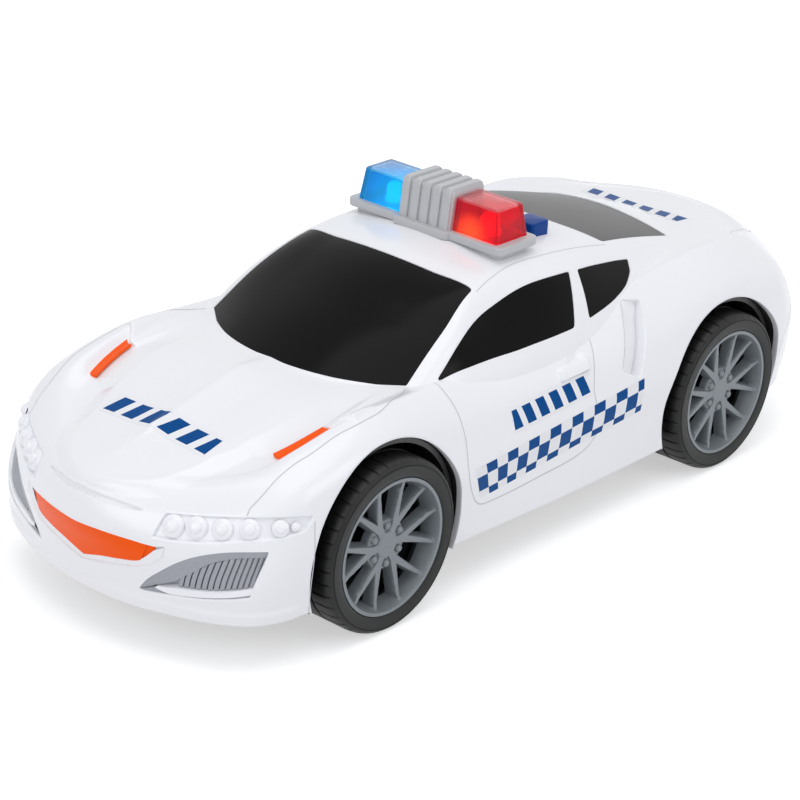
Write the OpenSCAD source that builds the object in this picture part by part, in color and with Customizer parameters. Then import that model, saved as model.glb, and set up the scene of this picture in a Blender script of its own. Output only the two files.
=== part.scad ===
// Toy patrol car with a friction drive, lights and a siren button.
// Sizes are in mm. x points forward, y to the left of the car, z up. The tyres stand on z = 0.

/* [Body] */
// distance between the axles
wheelbase = 150; // [142:1:158]
// nose tip ahead of the front axle
nose_overhang = 62.5; // [58:0.5:68]
// tail tip behind the rear axle
tail_overhang = 62.5; // [58:0.5:68]
// width of the shell over the doors
body_width = 110; // [106:1:114]
// height of the roof crown over the ground
roof_height = 82; // [80:0.5:86]
// wall of the moulded shell
shell_wall = 2; // [1.6:0.1:2.4]
// radius of the wheel arches
arch_radius = 29.5; // [29:0.1:31]

/* [Windows] */
// thickness of the window panes
pane_thickness = 1.4; // [1:0.1:1.8]
// gap round each pane
pane_gap = 0.15; // [0.1:0.05:0.4]

/* [Nose] */
// how far the lamp strips are let into the nose
lamp_recess = 0.8; // [0.5:0.1:1]
// how far the lamp domes stand out of the skin
dome_rise = 0.9; // [0.4:0.1:1.2]
// radius of the lamp domes
dome_radius = 2.7; // [2:0.1:3]
// thickness of the orange grille panel
grille_thickness = 1; // [0.8:0.1:1.2]
// how far the grille panel is let into the nose
grille_recess = 0.9; // [0.5:0.1:1]
// slats in each side intake
intake_slats = 11; // [7:1:13]
// share of the slat pitch that is solid
slat_share = 0.55; // [0.4:0.05:0.7]
// height of the slats over the intake floor
slat_height = 0.9; // [0.5:0.1:1.2]
// thickness of the intake floor
intake_floor = 0.8; // [0.6:0.1:1.2]
// how far the intake pieces are let into the nose
intake_recess = 1.7; // [1.2:0.1:2]
// gap under the orange hood strips
strip_gap = 0.15; // [0.05:0.05:0.3]
// thickness of the orange hood strips
strip_thickness = 0.8; // [0.5:0.1:1]
// gap round the intake pieces
intake_gap = 0.35; // [0.2:0.05:0.5]

/* [Sides] */
// depth of the scoops behind the doors
scoop_depth = 3.5; // [2:0.5:4]
// height of the door handles
handle_height = 1.1; // [0.6:0.1:1.5]

/* [Light bar] */
// middle of the bar along the car
bar_x = -2.5; // [-6:0.5:2]
// length of the bar across the car
bar_length = 59; // [54:1:64]
// depth of the bar base along the car
bar_depth = 17.4; // [16:0.2:20]
// depth of the base under the ribbed cover
bar_waist_depth = 20.4; // [18:0.2:24]
// underside of the lenses over the roof
bar_rise = 2.2; // [1.5:0.1:5]
// thickness of the plate under the lenses
plate_thickness = 2.4; // [2:0.1:3]
// corner radius of that plate
plate_corner = 2.2; // [1.5:0.1:3]
// how far the skirt under the plate stands back
skirt_inset = 1.2; // [0.8:0.1:2]
// width of the ribbed cover
cover_width = 19.4; // [16:0.2:22]
// depth of the ribbed cover
cover_depth = 15.6; // [14:0.2:17]
// height of the ribbed cover
cover_height = 11; // [9:0.2:12]
// ribs on the cover
cover_ribs = 5; // [3:1:7]
// how far the ribs stand out
rib_rise = 0.8; // [0.4:0.1:1.2]
// length of each lens
lens_length = 16.8; // [14:0.2:20]
// depth of each lens at its foot
lens_depth = 13.6; // [12:0.2:15]
// height of each lens
lens_height = 9.8; // [8:0.2:12]
// how far the lens sides lean in
lens_lean = 1.3; // [0.5:0.1:2]
// wall of the lenses and the cover
lens_wall = 1.2; // [0.8:0.1:1.6]
// radius of the lamp bulbs in the lenses
bulb_radius = 2.5; // [1.5:0.1:3]
// height of the lamp bulbs
bulb_height = 6; // [4:0.2:7]
// distance from the bar middle to each bulb
bulb_y = 18; // [16:0.5:20]
// radius of the bulb legs
leg_radius = 0.3; // [0.2:0.05:0.4]
// half distance between the two legs of a bulb
leg_half_pitch = 1.27; // [1:0.01:1.5]
// distance of the light bar screws from the middle
bar_screw_y = 5.6; // [4:0.1:6]
// radius of the screw bosses in the light bar
bar_boss_radius = 2.6; // [2.2:0.1:3]
// height of the screw bosses over the base plate
bar_boss_height = 5; // [4:0.5:8]
// how far the roof lies lower over the light bar screws than at its crown
crown_drop = 0.5; // [0.3:0.1:1]
// how far the lamp foot stands out round the lamp
bulb_flange = 0.4; // [0.2:0.1:0.6]
// thickness of the lamp foot
bulb_foot = 1; // [0.6:0.1:1.4]
// share of the cover that the ribs take up
rib_share = 0.6; // [0.4:0.05:0.8]

/* [Siren button] */
// middle of the button along the car
button_x = -20.7; // [-24:0.1:-18]
// middle of the button across the car
button_y = 18.4; // [16:0.1:20]
// length and width of the button cap
button_size = 8; // [6:0.2:9]
// corner radius of the button cap
button_corner = 1.2; // [0.6:0.1:2]
// top of the button over the roof
button_rise = 2; // [0.5:0.1:4]
// gap between the button and its guide
button_gap = 0.3; // [0.2:0.05:0.5]
// wall of the button guide
guide_wall = 1.6; // [1.2:0.1:2]
// how far the button guide hangs below the roof
guide_drop = 9; // [8:0.1:11]
// travel of the button
button_travel = 1.2; // [0.8:0.1:1.5]
// thickness of the button collar
collar_thickness = 1.4; // [1:0.1:2]
// how far the collar stands out round the cap
collar_lip = 1; // [0.8:0.1:1.5]
// radius of the switch plunger
plunger_radius = 1.7; // [1.2:0.1:2.5]
// side of the square switch body
switch_side = 6; // [5:0.2:8]
// height of the switch body
switch_height = 3.4; // [3:0.1:4]

/* [Circuit board] */
// how far the top face of the board lies below the roof
board_drop = 16.4; // [15:0.1:18]
// thickness of the board
board_thickness = 1.6; // [1:0.1:2]
// front edge of the board
board_front = 12; // [10:0.5:14]
// rear edge of the board
board_rear = -29; // [-30:0.5:-28]
// half width of the board
board_half_width = 24; // [22:0.5:27]
// radius of the board posts under the roof
post_radius = 3; // [2.5:0.1:4]
// floor of the switch under its plunger
switch_floor = 0.5; // [0.3:0.1:0.8]
// room under the plunger when the button is down
plunger_room = 0.3; // [0.2:0.05:0.5]

/* [Chassis] */
// underside of the floor over the ground
floor_bottom = 13; // [11:0.5:14]
// thickness of the floor
floor_thickness = 2; // [1.6:0.1:3]
// how far the sides of the floor lie inside the widest part of the body
floor_inset = 6.5; // [5:0.5:9]
// how far the floor ends inside the nose and the tail
floor_end_inset = 16.5; // [14:0.5:20]
// half width of the floor at its ends
floor_end_half_width = 36; // [32:0.5:38]
// wall of the wheel wells
well_wall = 1.4; // [1:0.1:2]
// gap between the wheel wells and the arches
well_gap = 0.4; // [0.3:0.1:0.8]
// room between the tyres and the inner walls of the wheel wells
well_room = 4.8; // [4:0.1:6]
// how far the wheel wells end inside the width of the shell
well_inset = 4.5; // [4:0.5:9]
// thickness of the axle bearings
bearing_thickness = 4; // [3:0.5:5]
// half width of the axle bearings
bearing_half_width = 6; // [5:0.5:8]
// radius of the screw pillars under the hood and the tail
pillar_radius = 3.6; // [3:0.1:4.5]
// how far the corners of the floor are cut across
floor_cut = 10; // [6:0.5:14]
// how far the corners of the floor are cut along
floor_cut_length = 8; // [5:0.5:12]

/* [Screws] */
// radius of the screw shanks
screw_radius = 1.2; // [1:0.1:1.4]
// radius of the screw heads
head_radius = 2.4; // [2:0.1:2.6]
// height of the screw heads
head_height = 1.4; // [1:0.1:1.6]
// length of the chassis screws
screw_length = 12; // [8:1:14]
// depth of the screw wells in the floor
screw_sink = 2.4; // [2:0.1:3]
// depth of the screw well in the battery door
door_sink = 1.6; // [1.5:0.1:2]
// wall of the screw wells
sink_wall = 1; // [0.8:0.1:1.4]
// gap round the screw shanks
screw_gap = 0.1; // [0.05:0.05:0.2]
// width of the driver slots
slot_width = 0.5; // [0.3:0.1:0.7]
// length of the driver slots against the head
slot_share = 0.6; // [0.4:0.1:0.8]
// length of the gear case screws
case_screw_length = 4; // [3:0.5:6]

/* [Battery box] */
// middle of the battery box along the car
box_x = 1; // [-2:0.5:4]
// radius of a cell
cell_radius = 5.25; // [5.25:0.05:5.3]
// length of a cell
cell_length = 44.5; // [44:0.1:45]
// number of cells
cell_count = 3; // [2:1:3]
// distance between neighbouring cells
cell_pitch = 12; // [11.4:0.1:13]
// room for the contacts at each end
contact_room = 2; // [1.5:0.1:3]
// thickness of the contact plates
contact_thickness = 0.4; // [0.3:0.05:0.6]
// wall of the battery box
box_wall = 1.6; // [1.2:0.1:2]
// gap round the cells
cell_gap = 0.3; // [0.2:0.05:0.5]
// thickness of the battery door
door_thickness = 1.6; // [1.2:0.1:2]
// gap round the battery door
door_gap = 0.3; // [0.2:0.05:0.5]
// distance of the door screw from the end of the box
lug_reach = 4; // [3.5:0.5:6]
// distance of the door screw from the middle
lug_y = 12; // [6:0.5:14]
// radius of the boss for the door screw
lug_radius = 3.2; // [3:0.1:4]
// radius of the pip on each cell
pip_radius = 1.9; // [1.5:0.1:2.5]
// height of the pip on each cell
pip_height = 1; // [0.6:0.1:1.4]
// radius of the contact springs
contact_radius = 2.2; // [1.8:0.1:3]

/* [Speaker] */
// middle of the speaker along the car
speaker_x = 48; // [47:0.5:50]
// radius of the speaker
speaker_radius = 13.5; // [12:0.5:14]
// height of the speaker
speaker_height = 6; // [5:0.2:8]
// holes in each ring of the sound grille
sound_holes = 8; // [6:1:10]
// radius of a sound hole
sound_hole_radius = 1.2; // [0.8:0.1:1.5]
// gap between the speaker and its wall
ring_gap = 0.3; // [0.2:0.05:0.5]
// thickness of the speaker rim
speaker_rim = 2.4; // [1.5:0.1:3]
// radius of the speaker basket at its rear
basket_radius = 8; // [7.5:0.5:9]
// radius of the speaker magnet
magnet_radius = 7; // [5:0.5:7]
// thickness of the ring that holds the speaker
ring_thickness = 1.4; // [1:0.1:2]
// distance between the circles of sound holes
sound_pitch = 4; // [3.5:0.1:4.5]

/* [Wheels] */
// radius of the tyres
tyre_radius = 24.9; // [24:0.1:25.5]
// width of the tyres
tyre_width = 21; // [18:0.5:22]
// how far the tyre faces stand out past the shell
wheel_stand = 0.8; // [0:0.1:3]
// radius of the visible rim edge
rim_radius = 19.5; // [18:0.1:20.5]
// thickness of the rim barrel
barrel_wall = 1.6; // [1.2:0.1:2]
// how far the tyre grips over the rim edge
tyre_lip = 0.9; // [0.5:0.1:1.5]
// shoulder radius of the tyres
tyre_shoulder = 3; // [2:0.1:4]
// depth of the grooves round the tyres
groove_depth = 0.7; // [0.4:0.1:1]
// pairs of spokes on a rim
spoke_pairs = 6; // [5:1:7]
// thickness of the spokes
spoke_thickness = 4; // [3:0.2:5]
// how far the spoke faces lie behind the tyre face
spoke_setback = 2.6; // [2:0.1:4]
// radius of the wheel hubs
hub_radius = 6.4; // [6:0.1:7]
// radius of the flat cap on each hub
cap_radius = 3.4; // [3:0.1:4]
// radius of a wheel nut
nut_radius = 1.1; // [0.8:0.05:1.3]
// distance of the wheel nuts from the wheel middle
nut_ring = 5.1; // [4.8:0.1:5.2]
// length of the wheel hubs
hub_length = 21; // [18:0.5:21]
// radius of the axles
axle_radius = 2; // [1.8:0.05:2.2]
// running gap between an axle and its bearings
axle_gap = 0.05; // [0.03:0.01:0.08]
// gap between pieces that are pressed together
seat_gap = 0.02; // [0.01:0.01:0.04]
// how far the axle ends lie behind the spokes
axle_setback = 2.4; // [2:0.1:3]
// place of the first tread groove across the tyre
groove_place = 0.3; // [0.2:0.02:0.4]
// width of the tread grooves against the tyre
groove_share = 0.06; // [0.04:0.01:0.1]
// height of the rounded edge of the rim
rim_edge = 0.4; // [0.3:0.1:0.6]
// angle of the spoke feet on the hub
spoke_foot_angle = 26; // [22:1:28]
// half angle of the spoke tips
spoke_tip_angle = 4; // [3:0.5:5]
// angle between the two spokes of a pair at the hub
crotch_angle = 2; // [1:0.5:3]

/* [Friction drive] */
// size of the gear teeth
gear_module = 0.5; // [0.5:0.05:0.55]
// teeth of the axle gear and of the large idler gear
gear_teeth = 36; // [34:2:36]
// teeth of the two pinions
pinion_teeth = 12; // [12:2:14]
// slack between the teeth
backlash = 0.12; // [0.08:0.02:0.16]
// face width of the gears
gear_face = 3.4; // [3:0.2:4]
// extra face width of the pinions
pinion_extra = 0.6; // [0.4:0.1:1]
// direction of the idler from the rear axle
idler_angle = 40; // [35:1:45]
// direction of the flywheel from the idler
flywheel_angle = 8; // [4:1:14]
// radius of the flywheel
flywheel_radius = 10; // [8:0.2:10]
// width of the flywheel
flywheel_width = 6.4; // [5:0.2:7]
// radius of the idler pin and the flywheel ends
pin_radius = 1.2; // [1:0.05:1.3]
// wall of the gear case
case_wall = 1.6; // [1.4:0.1:2]
// room between the gears and the gear case
case_room = 0.8; // [0.6:0.1:1.2]
// length of the fixing tabs of the gear case
tab_length = 8; // [7:0.5:9]
// pressure angle of the teeth
pressure_angle = 25; // [20:1:28]
// place of the drive gear across the car
drive_y = -9.6; // [-9.8:0.1:-9.4]
// height of the teeth over the pitch circle against the module
tip_share = 0.8; // [0.7:0.05:0.9]
// depth of the teeth under the pitch circle against the module
root_share = 1.1; // [1:0.05:1.3]
// end play of the shafts in the gear case
end_play = 0.3; // [0.2:0.05:0.5]
// thickness of the feet of the gear case
tab_thickness = 2; // [1.5:0.1:3]
// depth of the rib that finds the place of the case cover
lid_depth = 3; // [2:0.5:4]

/* [Leads] */
// radius of the insulated leads
lead_radius = 0.6; // [0.5:0.05:0.8]
// half the distance between the two speaker leads
lead_spread = 3; // [2:0.5:4]
// distance of the leads from the edge of the board
lead_inset = 3; // [2:0.5:5]
// distance of the leads from the middle of the speaker
lead_offset = 5; // [3:0.5:6]

/* [Hidden] */
$fn = 48;
eps = 0.02;
axle_z = tyre_radius;
front_axle_x = wheelbase / 2;
wheel_face = body_width / 2 + wheel_stand;
floor_half_length = wheelbase / 2 + min(nose_overhang, tail_overhang) - floor_end_inset;
well_inner = wheel_face - tyre_width - well_room;
well_outer = body_width / 2 - well_inset;
rear_axle_x = -wheelbase / 2;
floor_top = floor_bottom + floor_thickness;
floor_half_width = body_width / 2 - floor_inset;
bar_top = roof_height + bar_rise;
button_top = roof_height + button_rise;
guide_foot = roof_height - guide_drop;
board_top = roof_height - board_drop;
// the character lines below are drawn on a body of these sizes
drawn_base = 75;
drawn_nose = 62.5;
drawn_tail = 62;
drawn_width = 110;
drawn_roof = 82;
drawn_belt = 50;
// place of the middle line up the skin of the cabin
middle_v = 60;

// places along the body line from the nose round the side to the tail
along = [0, 23, 50, 68, 97, 126, 167, 212, 247, 279, 300, 324, 347];
// places up the skin from the lower edge to the middle line
girth = [0, 10, 20, 29, 39, 46, 60, 80];
// lower edge of the shell
edge_line = [[134.5, 0, 14.5], [131.5, 22, 14.5], [120.5, 46, 15], [104, 52.5, 15], [75, 53, 15], [46, 53,
    15],
    [5, 53, 14], [-40, 53, 14], [-75, 53, 15], [-106, 51.5, 17], [-122, 42, 20], [-132.5, 22, 21], [-135.5,
        0, 21]];
// line under the grille and along the rocker
rocker_line = [[135.4, 0, 24.5], [132.2, 22.5, 25], [120.5, 47.5, 26], [104.5, 53.5, 26], [75, 54, 27],
    [46, 53.5, 27],
    [5, 53, 27], [-40, 53.5, 27], [-75, 54.2, 28], [-106, 53, 30], [-123, 43.8, 30], [-134.5, 22, 32],
        [-137, 0, 32]];
// line over the grille and along the middle of the doors
waist_line = [[137.5, 0, 33.8], [131.8, 24.2, 33.2], [117, 48, 36], [103.5, 53.5, 37.5], [75, 54.5, 40],
    [46, 54, 38],
    [5, 53.5, 38], [-40, 54.5, 40], [-75, 55, 42], [-106, 53.5, 42], [-121.5, 43.5, 42], [-134, 22, 44],
        [-136.5, 0, 44]];
// line over the lamps and along the shoulders
shoulder_line = [[136.4, 0, 40], [129, 23, 40.5], [113, 46, 45.5], [101, 51, 50], [75, 51.8, 54], [46,
    50.5, 50.5],
    [5, 50, 50], [-40, 51, 52.5], [-75, 51, 57.5], [-103, 49, 54], [-118, 41, 52], [-130.5, 21, 53.5],
        [-133, 0, 54]];
// crest of the wings and of the haunches
crest_line = [[133.9, 0, 44.2], [124, 20, 45.5], [109, 39, 51], [98, 42, 56], [75, 43, 60], [50, 43.5, 59],
    [5, 42, 58], [-40, 42, 63], [-75, 41, 67], [-100, 38, 63.5], [-113, 32, 60.5], [-123, 17, 60.5], [-126,
        0, 60.5]];
// valley beside the wings
valley_line = [[130.5, 0, 45.4], [121, 16, 46.6], [108.5, 30, 49], [99.2, 35.7, 52], [79, 38, 56.6], [52,
    38, 59],
    [5, 36, 59.5], [-40, 36, 63.5], [-75, 36, 66.8], [-99, 33.5, 64], [-111.5, 27, 61.5], [-120.5, 14,
        61.3], [-124, 0, 61.2]];
// line half way to the middle of the hood and the tail
half_line = [[126.5, 0, 46.5], [117, 11, 48], [104, 19, 51], [94, 21, 53.8], [75, 22, 57.6], [50, 22, 59.5],
    [5, 21, 61], [-40, 22, 64], [-75, 21, 66.5], [-97, 20, 65.5], [-108, 17, 63.8], [-115.5, 9, 63], [-119,
        0, 62.8]];
// middle line of the hood and the tail
middle_line = [[121, 0, 48], [111, 0, 50], [101, 0, 52.2], [92, 0, 54.3], [75, 0, 58.2], [50, 0, 61],
    [5, 0, 63], [-40, 0, 66], [-75, 0, 68], [-95, 0, 65.5], [-105, 0, 64.2], [-112, 0, 63.3], [-116, 0,
        62.8]];
// places along the cabin from the windscreen foot to the tail
cabin_along = [0, 22, 42, 73, 104, 142, 164];
// places up the cabin from its foot to the roof crown
cabin_girth = [0, 6, 16, 27, 42, 60];
// foot of the cabin inside the shoulders
cabin_foot = [[44, 46.5, 49], [30, 47, 49], [16, 47.5, 49], [-12, 48, 49], [-42, 46, 50], [-75, 40, 53],
    [-95, 34, 52]];
// lower edge of the side windows
cabin_belt = [[47, 45.5, 54], [32, 45.5, 55.5], [17, 46, 56.5], [-12, 46, 57.5], [-42, 43, 59.5], [-76, 37,
    60], [-96, 33, 56]];
// middle of the side windows
cabin_side = [[51, 42, 56.3], [34, 41.3, 63], [18, 39.5, 67], [-12, 40, 69], [-42, 37, 67.5], [-78, 33,
    63], [-98, 30, 58]];
// windscreen pillar and roof edge
cabin_rail = [[54, 38.5, 57.8], [36, 36.5, 69], [18.6, 32.5, 76.5], [-12, 31.5, 78], [-42, 29.5, 74.5],
    [-80, 26.5, 66], [-100, 24, 60]];
// line half way to the roof crown
cabin_half = [[65, 20, 58.7], [43, 19.5, 70], [21, 18, 79.2], [-12, 17.5, 81], [-44, 16.5, 77.6], [-81, 15,
    68.6], [-101, 14, 62]];
// roof crown
cabin_crown = [[68.5, 0, 59], [46, 0, 70.5], [22, 0, 80.3], [-12, 0, 82], [-45, 0, 78.5], [-82, 0, 69.5],
    [-102, 0, 63]];

// outlines as pairs of places along and up the skin, lower edge first and upper edge second
windscreen_low = [[1.4, 27.8], [14, 28.2], [28, 28.2], [41, 28]];
windscreen_half = [[1.4, 45], [14, 45], [28, 45], [41, 45]];
windscreen_high = [[1.4, 60], [14, 60], [28, 60], [41, 60]];
rear_window_low = [[103.5, 27.6], [116, 28], [128, 28.2], [141, 28.2]];
rear_window_half = [[94, 43], [108, 43], [124, 43], [138, 43]];
rear_window_high = [[90.8, 60], [105.3, 60], [122.7, 60], [137, 60]];
door_pane_low = [[9.4, 16], [24, 12], [42, 9.7], [57, 9], [72.2, 8.6]];
door_pane_high = [[9.8, 17.6], [24, 21.1], [42, 21], [60, 21.9], [79, 21.1]];
quarter_pane_low = [[79.5, 8.8], [89, 9.2], [96, 10], [103, 11.9], [108.4, 15.4]];
quarter_pane_high = [[82.8, 20.8], [90, 20.6], [97, 20.3], [104, 20], [110.4, 19.5]];
grille_low = [[0, 10.3], [10.8, 12], [17, 13.6], [20, 15], [22.4, 18]];
grille_high = [[0, 19.7], [10.8, 19.7], [17, 19.7], [20, 19.8], [22.9, 19.8]];
intake_low = [[20.6, 5.2], [30, 5.6], [37.3, 6.3], [44, 7], [50, 7.8]];
intake_high = [[20.9, 6.4], [27.4, 11.9], [35, 17.4], [44.3, 19.6], [52.1, 19.5]];
lamp_low = [[21.8, 23], [32, 22.6], [43, 22.6], [55, 22.2], [65, 21.9]];
lamp_high = [[24.4, 30.7], [33, 29.6], [44.5, 28], [54, 26.6], [67.5, 23.8]];
strip_low = [[67.5, 44.9], [90.2, 43.6]];
strip_high = [[67.5, 47.1], [90.5, 46.3]];
scoop_low = [[196.4, 25], [204.1, 21.6]];
scoop_high = [[206.6, 38.8], [213.4, 36.4]];
handle_low = [[172, 29.3], [182, 29]];
handle_high = [[172, 31], [182, 30.8]];
// places of the lamp domes along and up the skin
dome_places = [[26.6, 26.6], [32.3, 26.3], [38.5, 25.6], [45.4, 25.1], [54.7, 24.1]];

// a drawn point moved to the named sizes
function fit_x(x) = x > drawn_base ? front_axle_x + (x - drawn_base) * nose_overhang / drawn_nose :
    x < -drawn_base ? rear_axle_x + (x + drawn_base)
        * tail_overhang / drawn_tail : x * front_axle_x / drawn_base;
function fit_z(z) = z > drawn_belt ?
    drawn_belt + (z - drawn_belt) * (roof_height - drawn_belt) / (drawn_roof - drawn_belt) : z;
function fit(p) = [fit_x(p[0]), p[1] * body_width / drawn_width, fit_z(p[2])];
function fit_all(lines) = [for (l = lines) [for (p = l) fit(p)]];
hull_net = fit_all([edge_line, rocker_line, waist_line, shoulder_line, crest_line, valley_line, half_line,
    middle_line]);
cabin_net = fit_all([cabin_foot, cabin_belt, cabin_side, cabin_rail, cabin_half, cabin_crown]);

// smooth curve through points at given places
function slope(p, k, i) = i == 0 ? (p[1] - p[0]) / (k[1] - k[0]) :
    i == len(p) - 1 ? (p[i] - p[i - 1]) / (k[i] - k[i - 1]) : (p[i + 1] - p[i - 1]) / (k[i + 1] - k[i - 1]);
function span(k, t, i = 0) = (i >= len(k) - 2 || t < k[i + 1]) ? i : span(k, t, i + 1);
function curve(p, k, t) = let (i = span(k, t), h = k[i + 1] - k[i], s = (t - k[i]) / h)
    (2 * s * s * s - 3 * s * s + 1) * p[i] + (s * s * s - 2 * s * s + s) * h * slope(p, k, i)
    + (3 * s * s - 2 * s * s * s) * p[i + 1] + (s * s * s - s * s) * h * slope(p, k, i + 1);
function flip(p) = [p[0], -p[1], p[2]];
function past(k) = 2 * k[len(k) - 1] - k[len(k) - 2];
// one line along the skin at place v up it
function skin_line(net, kv, v) = let (n = len(net), k = concat(kv, [past(kv)]))
    [for (s = [0 : len(net[0]) - 1]) curve(concat([for (l = net) l[s]], [flip(net[n - 2][s])]), k, v)];
function closed_line(l) = concat([flip(l[1])], l, [flip(l[len(l) - 2])]);
function closed_places(k) = concat([2 * k[0] - k[1]], k, [past(k)]);
function unit(a) = a / norm(a);
// point of the skin at u and v, moved out by d
step = 0.25;
// how far the inner skins run down past the lower edge
inner_drop = 8;
function skin_point(l0, la, lb, k, u, d) = let (p = curve(l0, k, u), e = max(u - step, 0),
    t = curve(l0, k, u + step) - curve(l0, k, e), w = curve(lb, k, u) - curve(la, k, u))
        p + d * unit(cross(t, w));
function hull_lines(v) = [for (q = [v, max(v - step, 0), v + step]) closed_line(skin_line(hull_net, girth,
    q))];
function cabin_lines(v) = [for (q = [v, max(v - step, 0), v + step]) skin_line(cabin_net, cabin_girth, q)];
function hull_at(u, v, d) = let (l = hull_lines(v)) skin_point(l[0], l[1], l[2], closed_places(along), u, d);
function cabin_at(u, v, d) = let (l = cabin_lines(v)) skin_point(l[0], l[1], l[2], cabin_along, u, d);
// places for the facets of the two skins
function spread(k, n) = [for (i = [0 : len(k) - 2]) for (j = [0 : n - 1]) k[i] + (k[i + 1] - k[i]) * j / n];
function whole(k, n) = concat(spread(k, n), [k[len(k) - 1]]);
hull_u = whole(along, 4);
hull_v = whole(girth, 2);
cabin_u = whole(cabin_along, 3);
cabin_v = whole(cabin_girth, 2);
// the inner faces of the shell need fewer facets
inner_u = whole(along, 3);
inner_cabin_u = whole(cabin_along, 2);
function sink(p, s) = [p[0], p[1], p[2] - s];
// grids of skin points, columns along the car and rows up the skin
// the two ends of the middle line have no clear normal, so they are moved straight up
function hull_tip(u, d) = let (p = hull_at(u, girth[len(girth) - 1], 0)) [p[0], 0, p[2] + d];
function hull_grid(us, d, drop) = let (rows = [for (v = hull_v) let (l = hull_lines(v))
    [for (u = us) skin_point(l[0], l[1], l[2], closed_places(along), u, d)]])
    [for (i = [0 : len(us) - 1]) [for (j = [0 : len(hull_v) - 1]) let (p = rows[j][i])
    (j == len(hull_v) - 1 && (i == 0 || i == len(us) - 1)) ? hull_tip(us[i], d) :
    (i == 0 || i == len(us) - 1 || j == len(hull_v) - 1) ? [p[0], 0, j == 0 ? p[2] - drop : p[2]] :
    j == 0 ? sink(p, drop) : p]];
function cabin_grid(us, d, drop) = let (rows = [for (v = cabin_v) let (l = cabin_lines(v))
    [for (u = us) skin_point(l[0], l[1], l[2], cabin_along, u, d)]])
    [for (i = [0 : len(us) - 1]) [for (j = [0 : len(cabin_v) - 1]) let (p = rows[j][i])
    j == len(cabin_v) - 1 ? [p[0], 0, p[2]] : j == 0 ? sink(p, drop) : p]];

// closed solid from the left half of a skin and its mirror
module mirrored_skin(grid, pointed) {
    m = len(grid);
    n = len(grid[0]);
    half = m * n;
    left = [for (c = grid) for (p = c) p];
    right = [for (p = left) flip(p)];
    function lid(i, j) = i * n + j;
    function rid(i, j) = (j == n - 1 || (pointed && (i == 0 || i == m - 1))) ? lid(i, j) : half + lid(i, j);
    first = pointed ? 1 : 0;
    sides = [for (i = [first : m - 2]) for (j = [0 : n - 2]) each [
        [lid(i, j), lid(i + 1, j + 1), lid(i + 1, j)], [lid(i, j), lid(i, j + 1), lid(i + 1, j + 1)],
        [rid(i, j), rid(i + 1, j), rid(i + 1, j + 1)], [rid(i, j), rid(i + 1, j + 1), rid(i, j + 1)]]];
    // at the nose the faces are split the other way, so that none lies in the middle plane
    point = [for (j = [0 : n - 2]) each [
        [lid(0, j), lid(0, j + 1), lid(1, j)], [lid(0, j + 1), lid(1, j + 1), lid(1, j)],
        [rid(0, j), rid(1, j), rid(0, j + 1)], [rid(0, j + 1), rid(1, j), rid(1, j + 1)]]];
    below = [for (i = [0 : m - 2]) each [
        [lid(i, 0), lid(i + 1, 0), rid(i + 1, 0)], [lid(i, 0), rid(i + 1, 0), rid(i, 0)]]];
    ends = [for (j = [0 : n - 2]) each [
        [lid(0, j), rid(0, j), rid(0, j + 1)], [lid(0, j), rid(0, j + 1), lid(0, j + 1)],
        [lid(m - 1, j), rid(m - 1, j + 1), rid(m - 1, j)], [lid(m - 1, j), lid(m - 1, j + 1), rid(m - 1,
            j + 1)]]];
    tris = concat(sides, below, pointed ? point : ends);
    polyhedron(concat(left, right), [for (t = tris) if (t[0] != t[1] && t[1] != t[2] && t[0] != t[2]) t]);
}

// solid between two matching grids of points
module slab(outer, inner) {
    m = len(outer);
    n = len(outer[0]);
    half = m * n;
    function oid(i, j) = i * n + j;
    function iid(i, j) = half + i * n + j;
    faces = [for (i = [0 : m - 2]) for (j = [0 : n - 2]) each [
        [oid(i, j), oid(i, j + 1), oid(i + 1, j + 1)], [oid(i, j), oid(i + 1, j + 1), oid(i + 1, j)],
        [iid(i, j), iid(i + 1, j + 1), iid(i, j + 1)], [iid(i, j), iid(i + 1, j), iid(i + 1, j + 1)]]];
    rows = [for (i = [0 : m - 2]) each [
        [oid(i, 0), oid(i + 1, 0), iid(i + 1, 0)], [oid(i, 0), iid(i + 1, 0), iid(i, 0)],
        [oid(i, n - 1), iid(i + 1, n - 1), oid(i + 1, n - 1)], [oid(i, n - 1), iid(i, n - 1), iid(i + 1,
            n - 1)]]];
    ends = [for (j = [0 : n - 2]) each [
        [oid(0, j), iid(0, j + 1), oid(0, j + 1)], [oid(0, j), iid(0, j), iid(0, j + 1)],
        [oid(m - 1, j), oid(m - 1, j + 1), iid(m - 1, j + 1)], [oid(m - 1, j), iid(m - 1, j + 1),
            iid(m - 1, j)]]];
    polyhedron([for (g = [outer, inner]) for (c = g) for (p = c) p], concat(faces, rows, ends));
}

// places inside an outline, grown by g on every side
function edge_at(pts, s) = curve(pts, [for (i = [0 : len(pts) - 1]) i / (len(pts) - 1)], s);
function outline_place(low, high, s, t, g) = let (a = edge_at(low, s), b = edge_at(high, s), c = (a + b) / 2)
    let (q = a + (b - a) * t) q + g * [s * 2 - 1, t * 2 - 1];
function hull_patch(low, high, d, g, m, n) = [for (i = [0 : m]) [for (j = [0 : n])
    let (q = outline_place(low, high, i / m, j / n, g)) hull_at(max(q[0], 0), q[1], d)]];
function cabin_patch(low, high, d, g, m, n) = [for (i = [0 : m]) [for (j = [0 : n])
    let (q = outline_place(low, high, i / m, j / n, g)) cabin_at(q[0], q[1], d)]];
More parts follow.
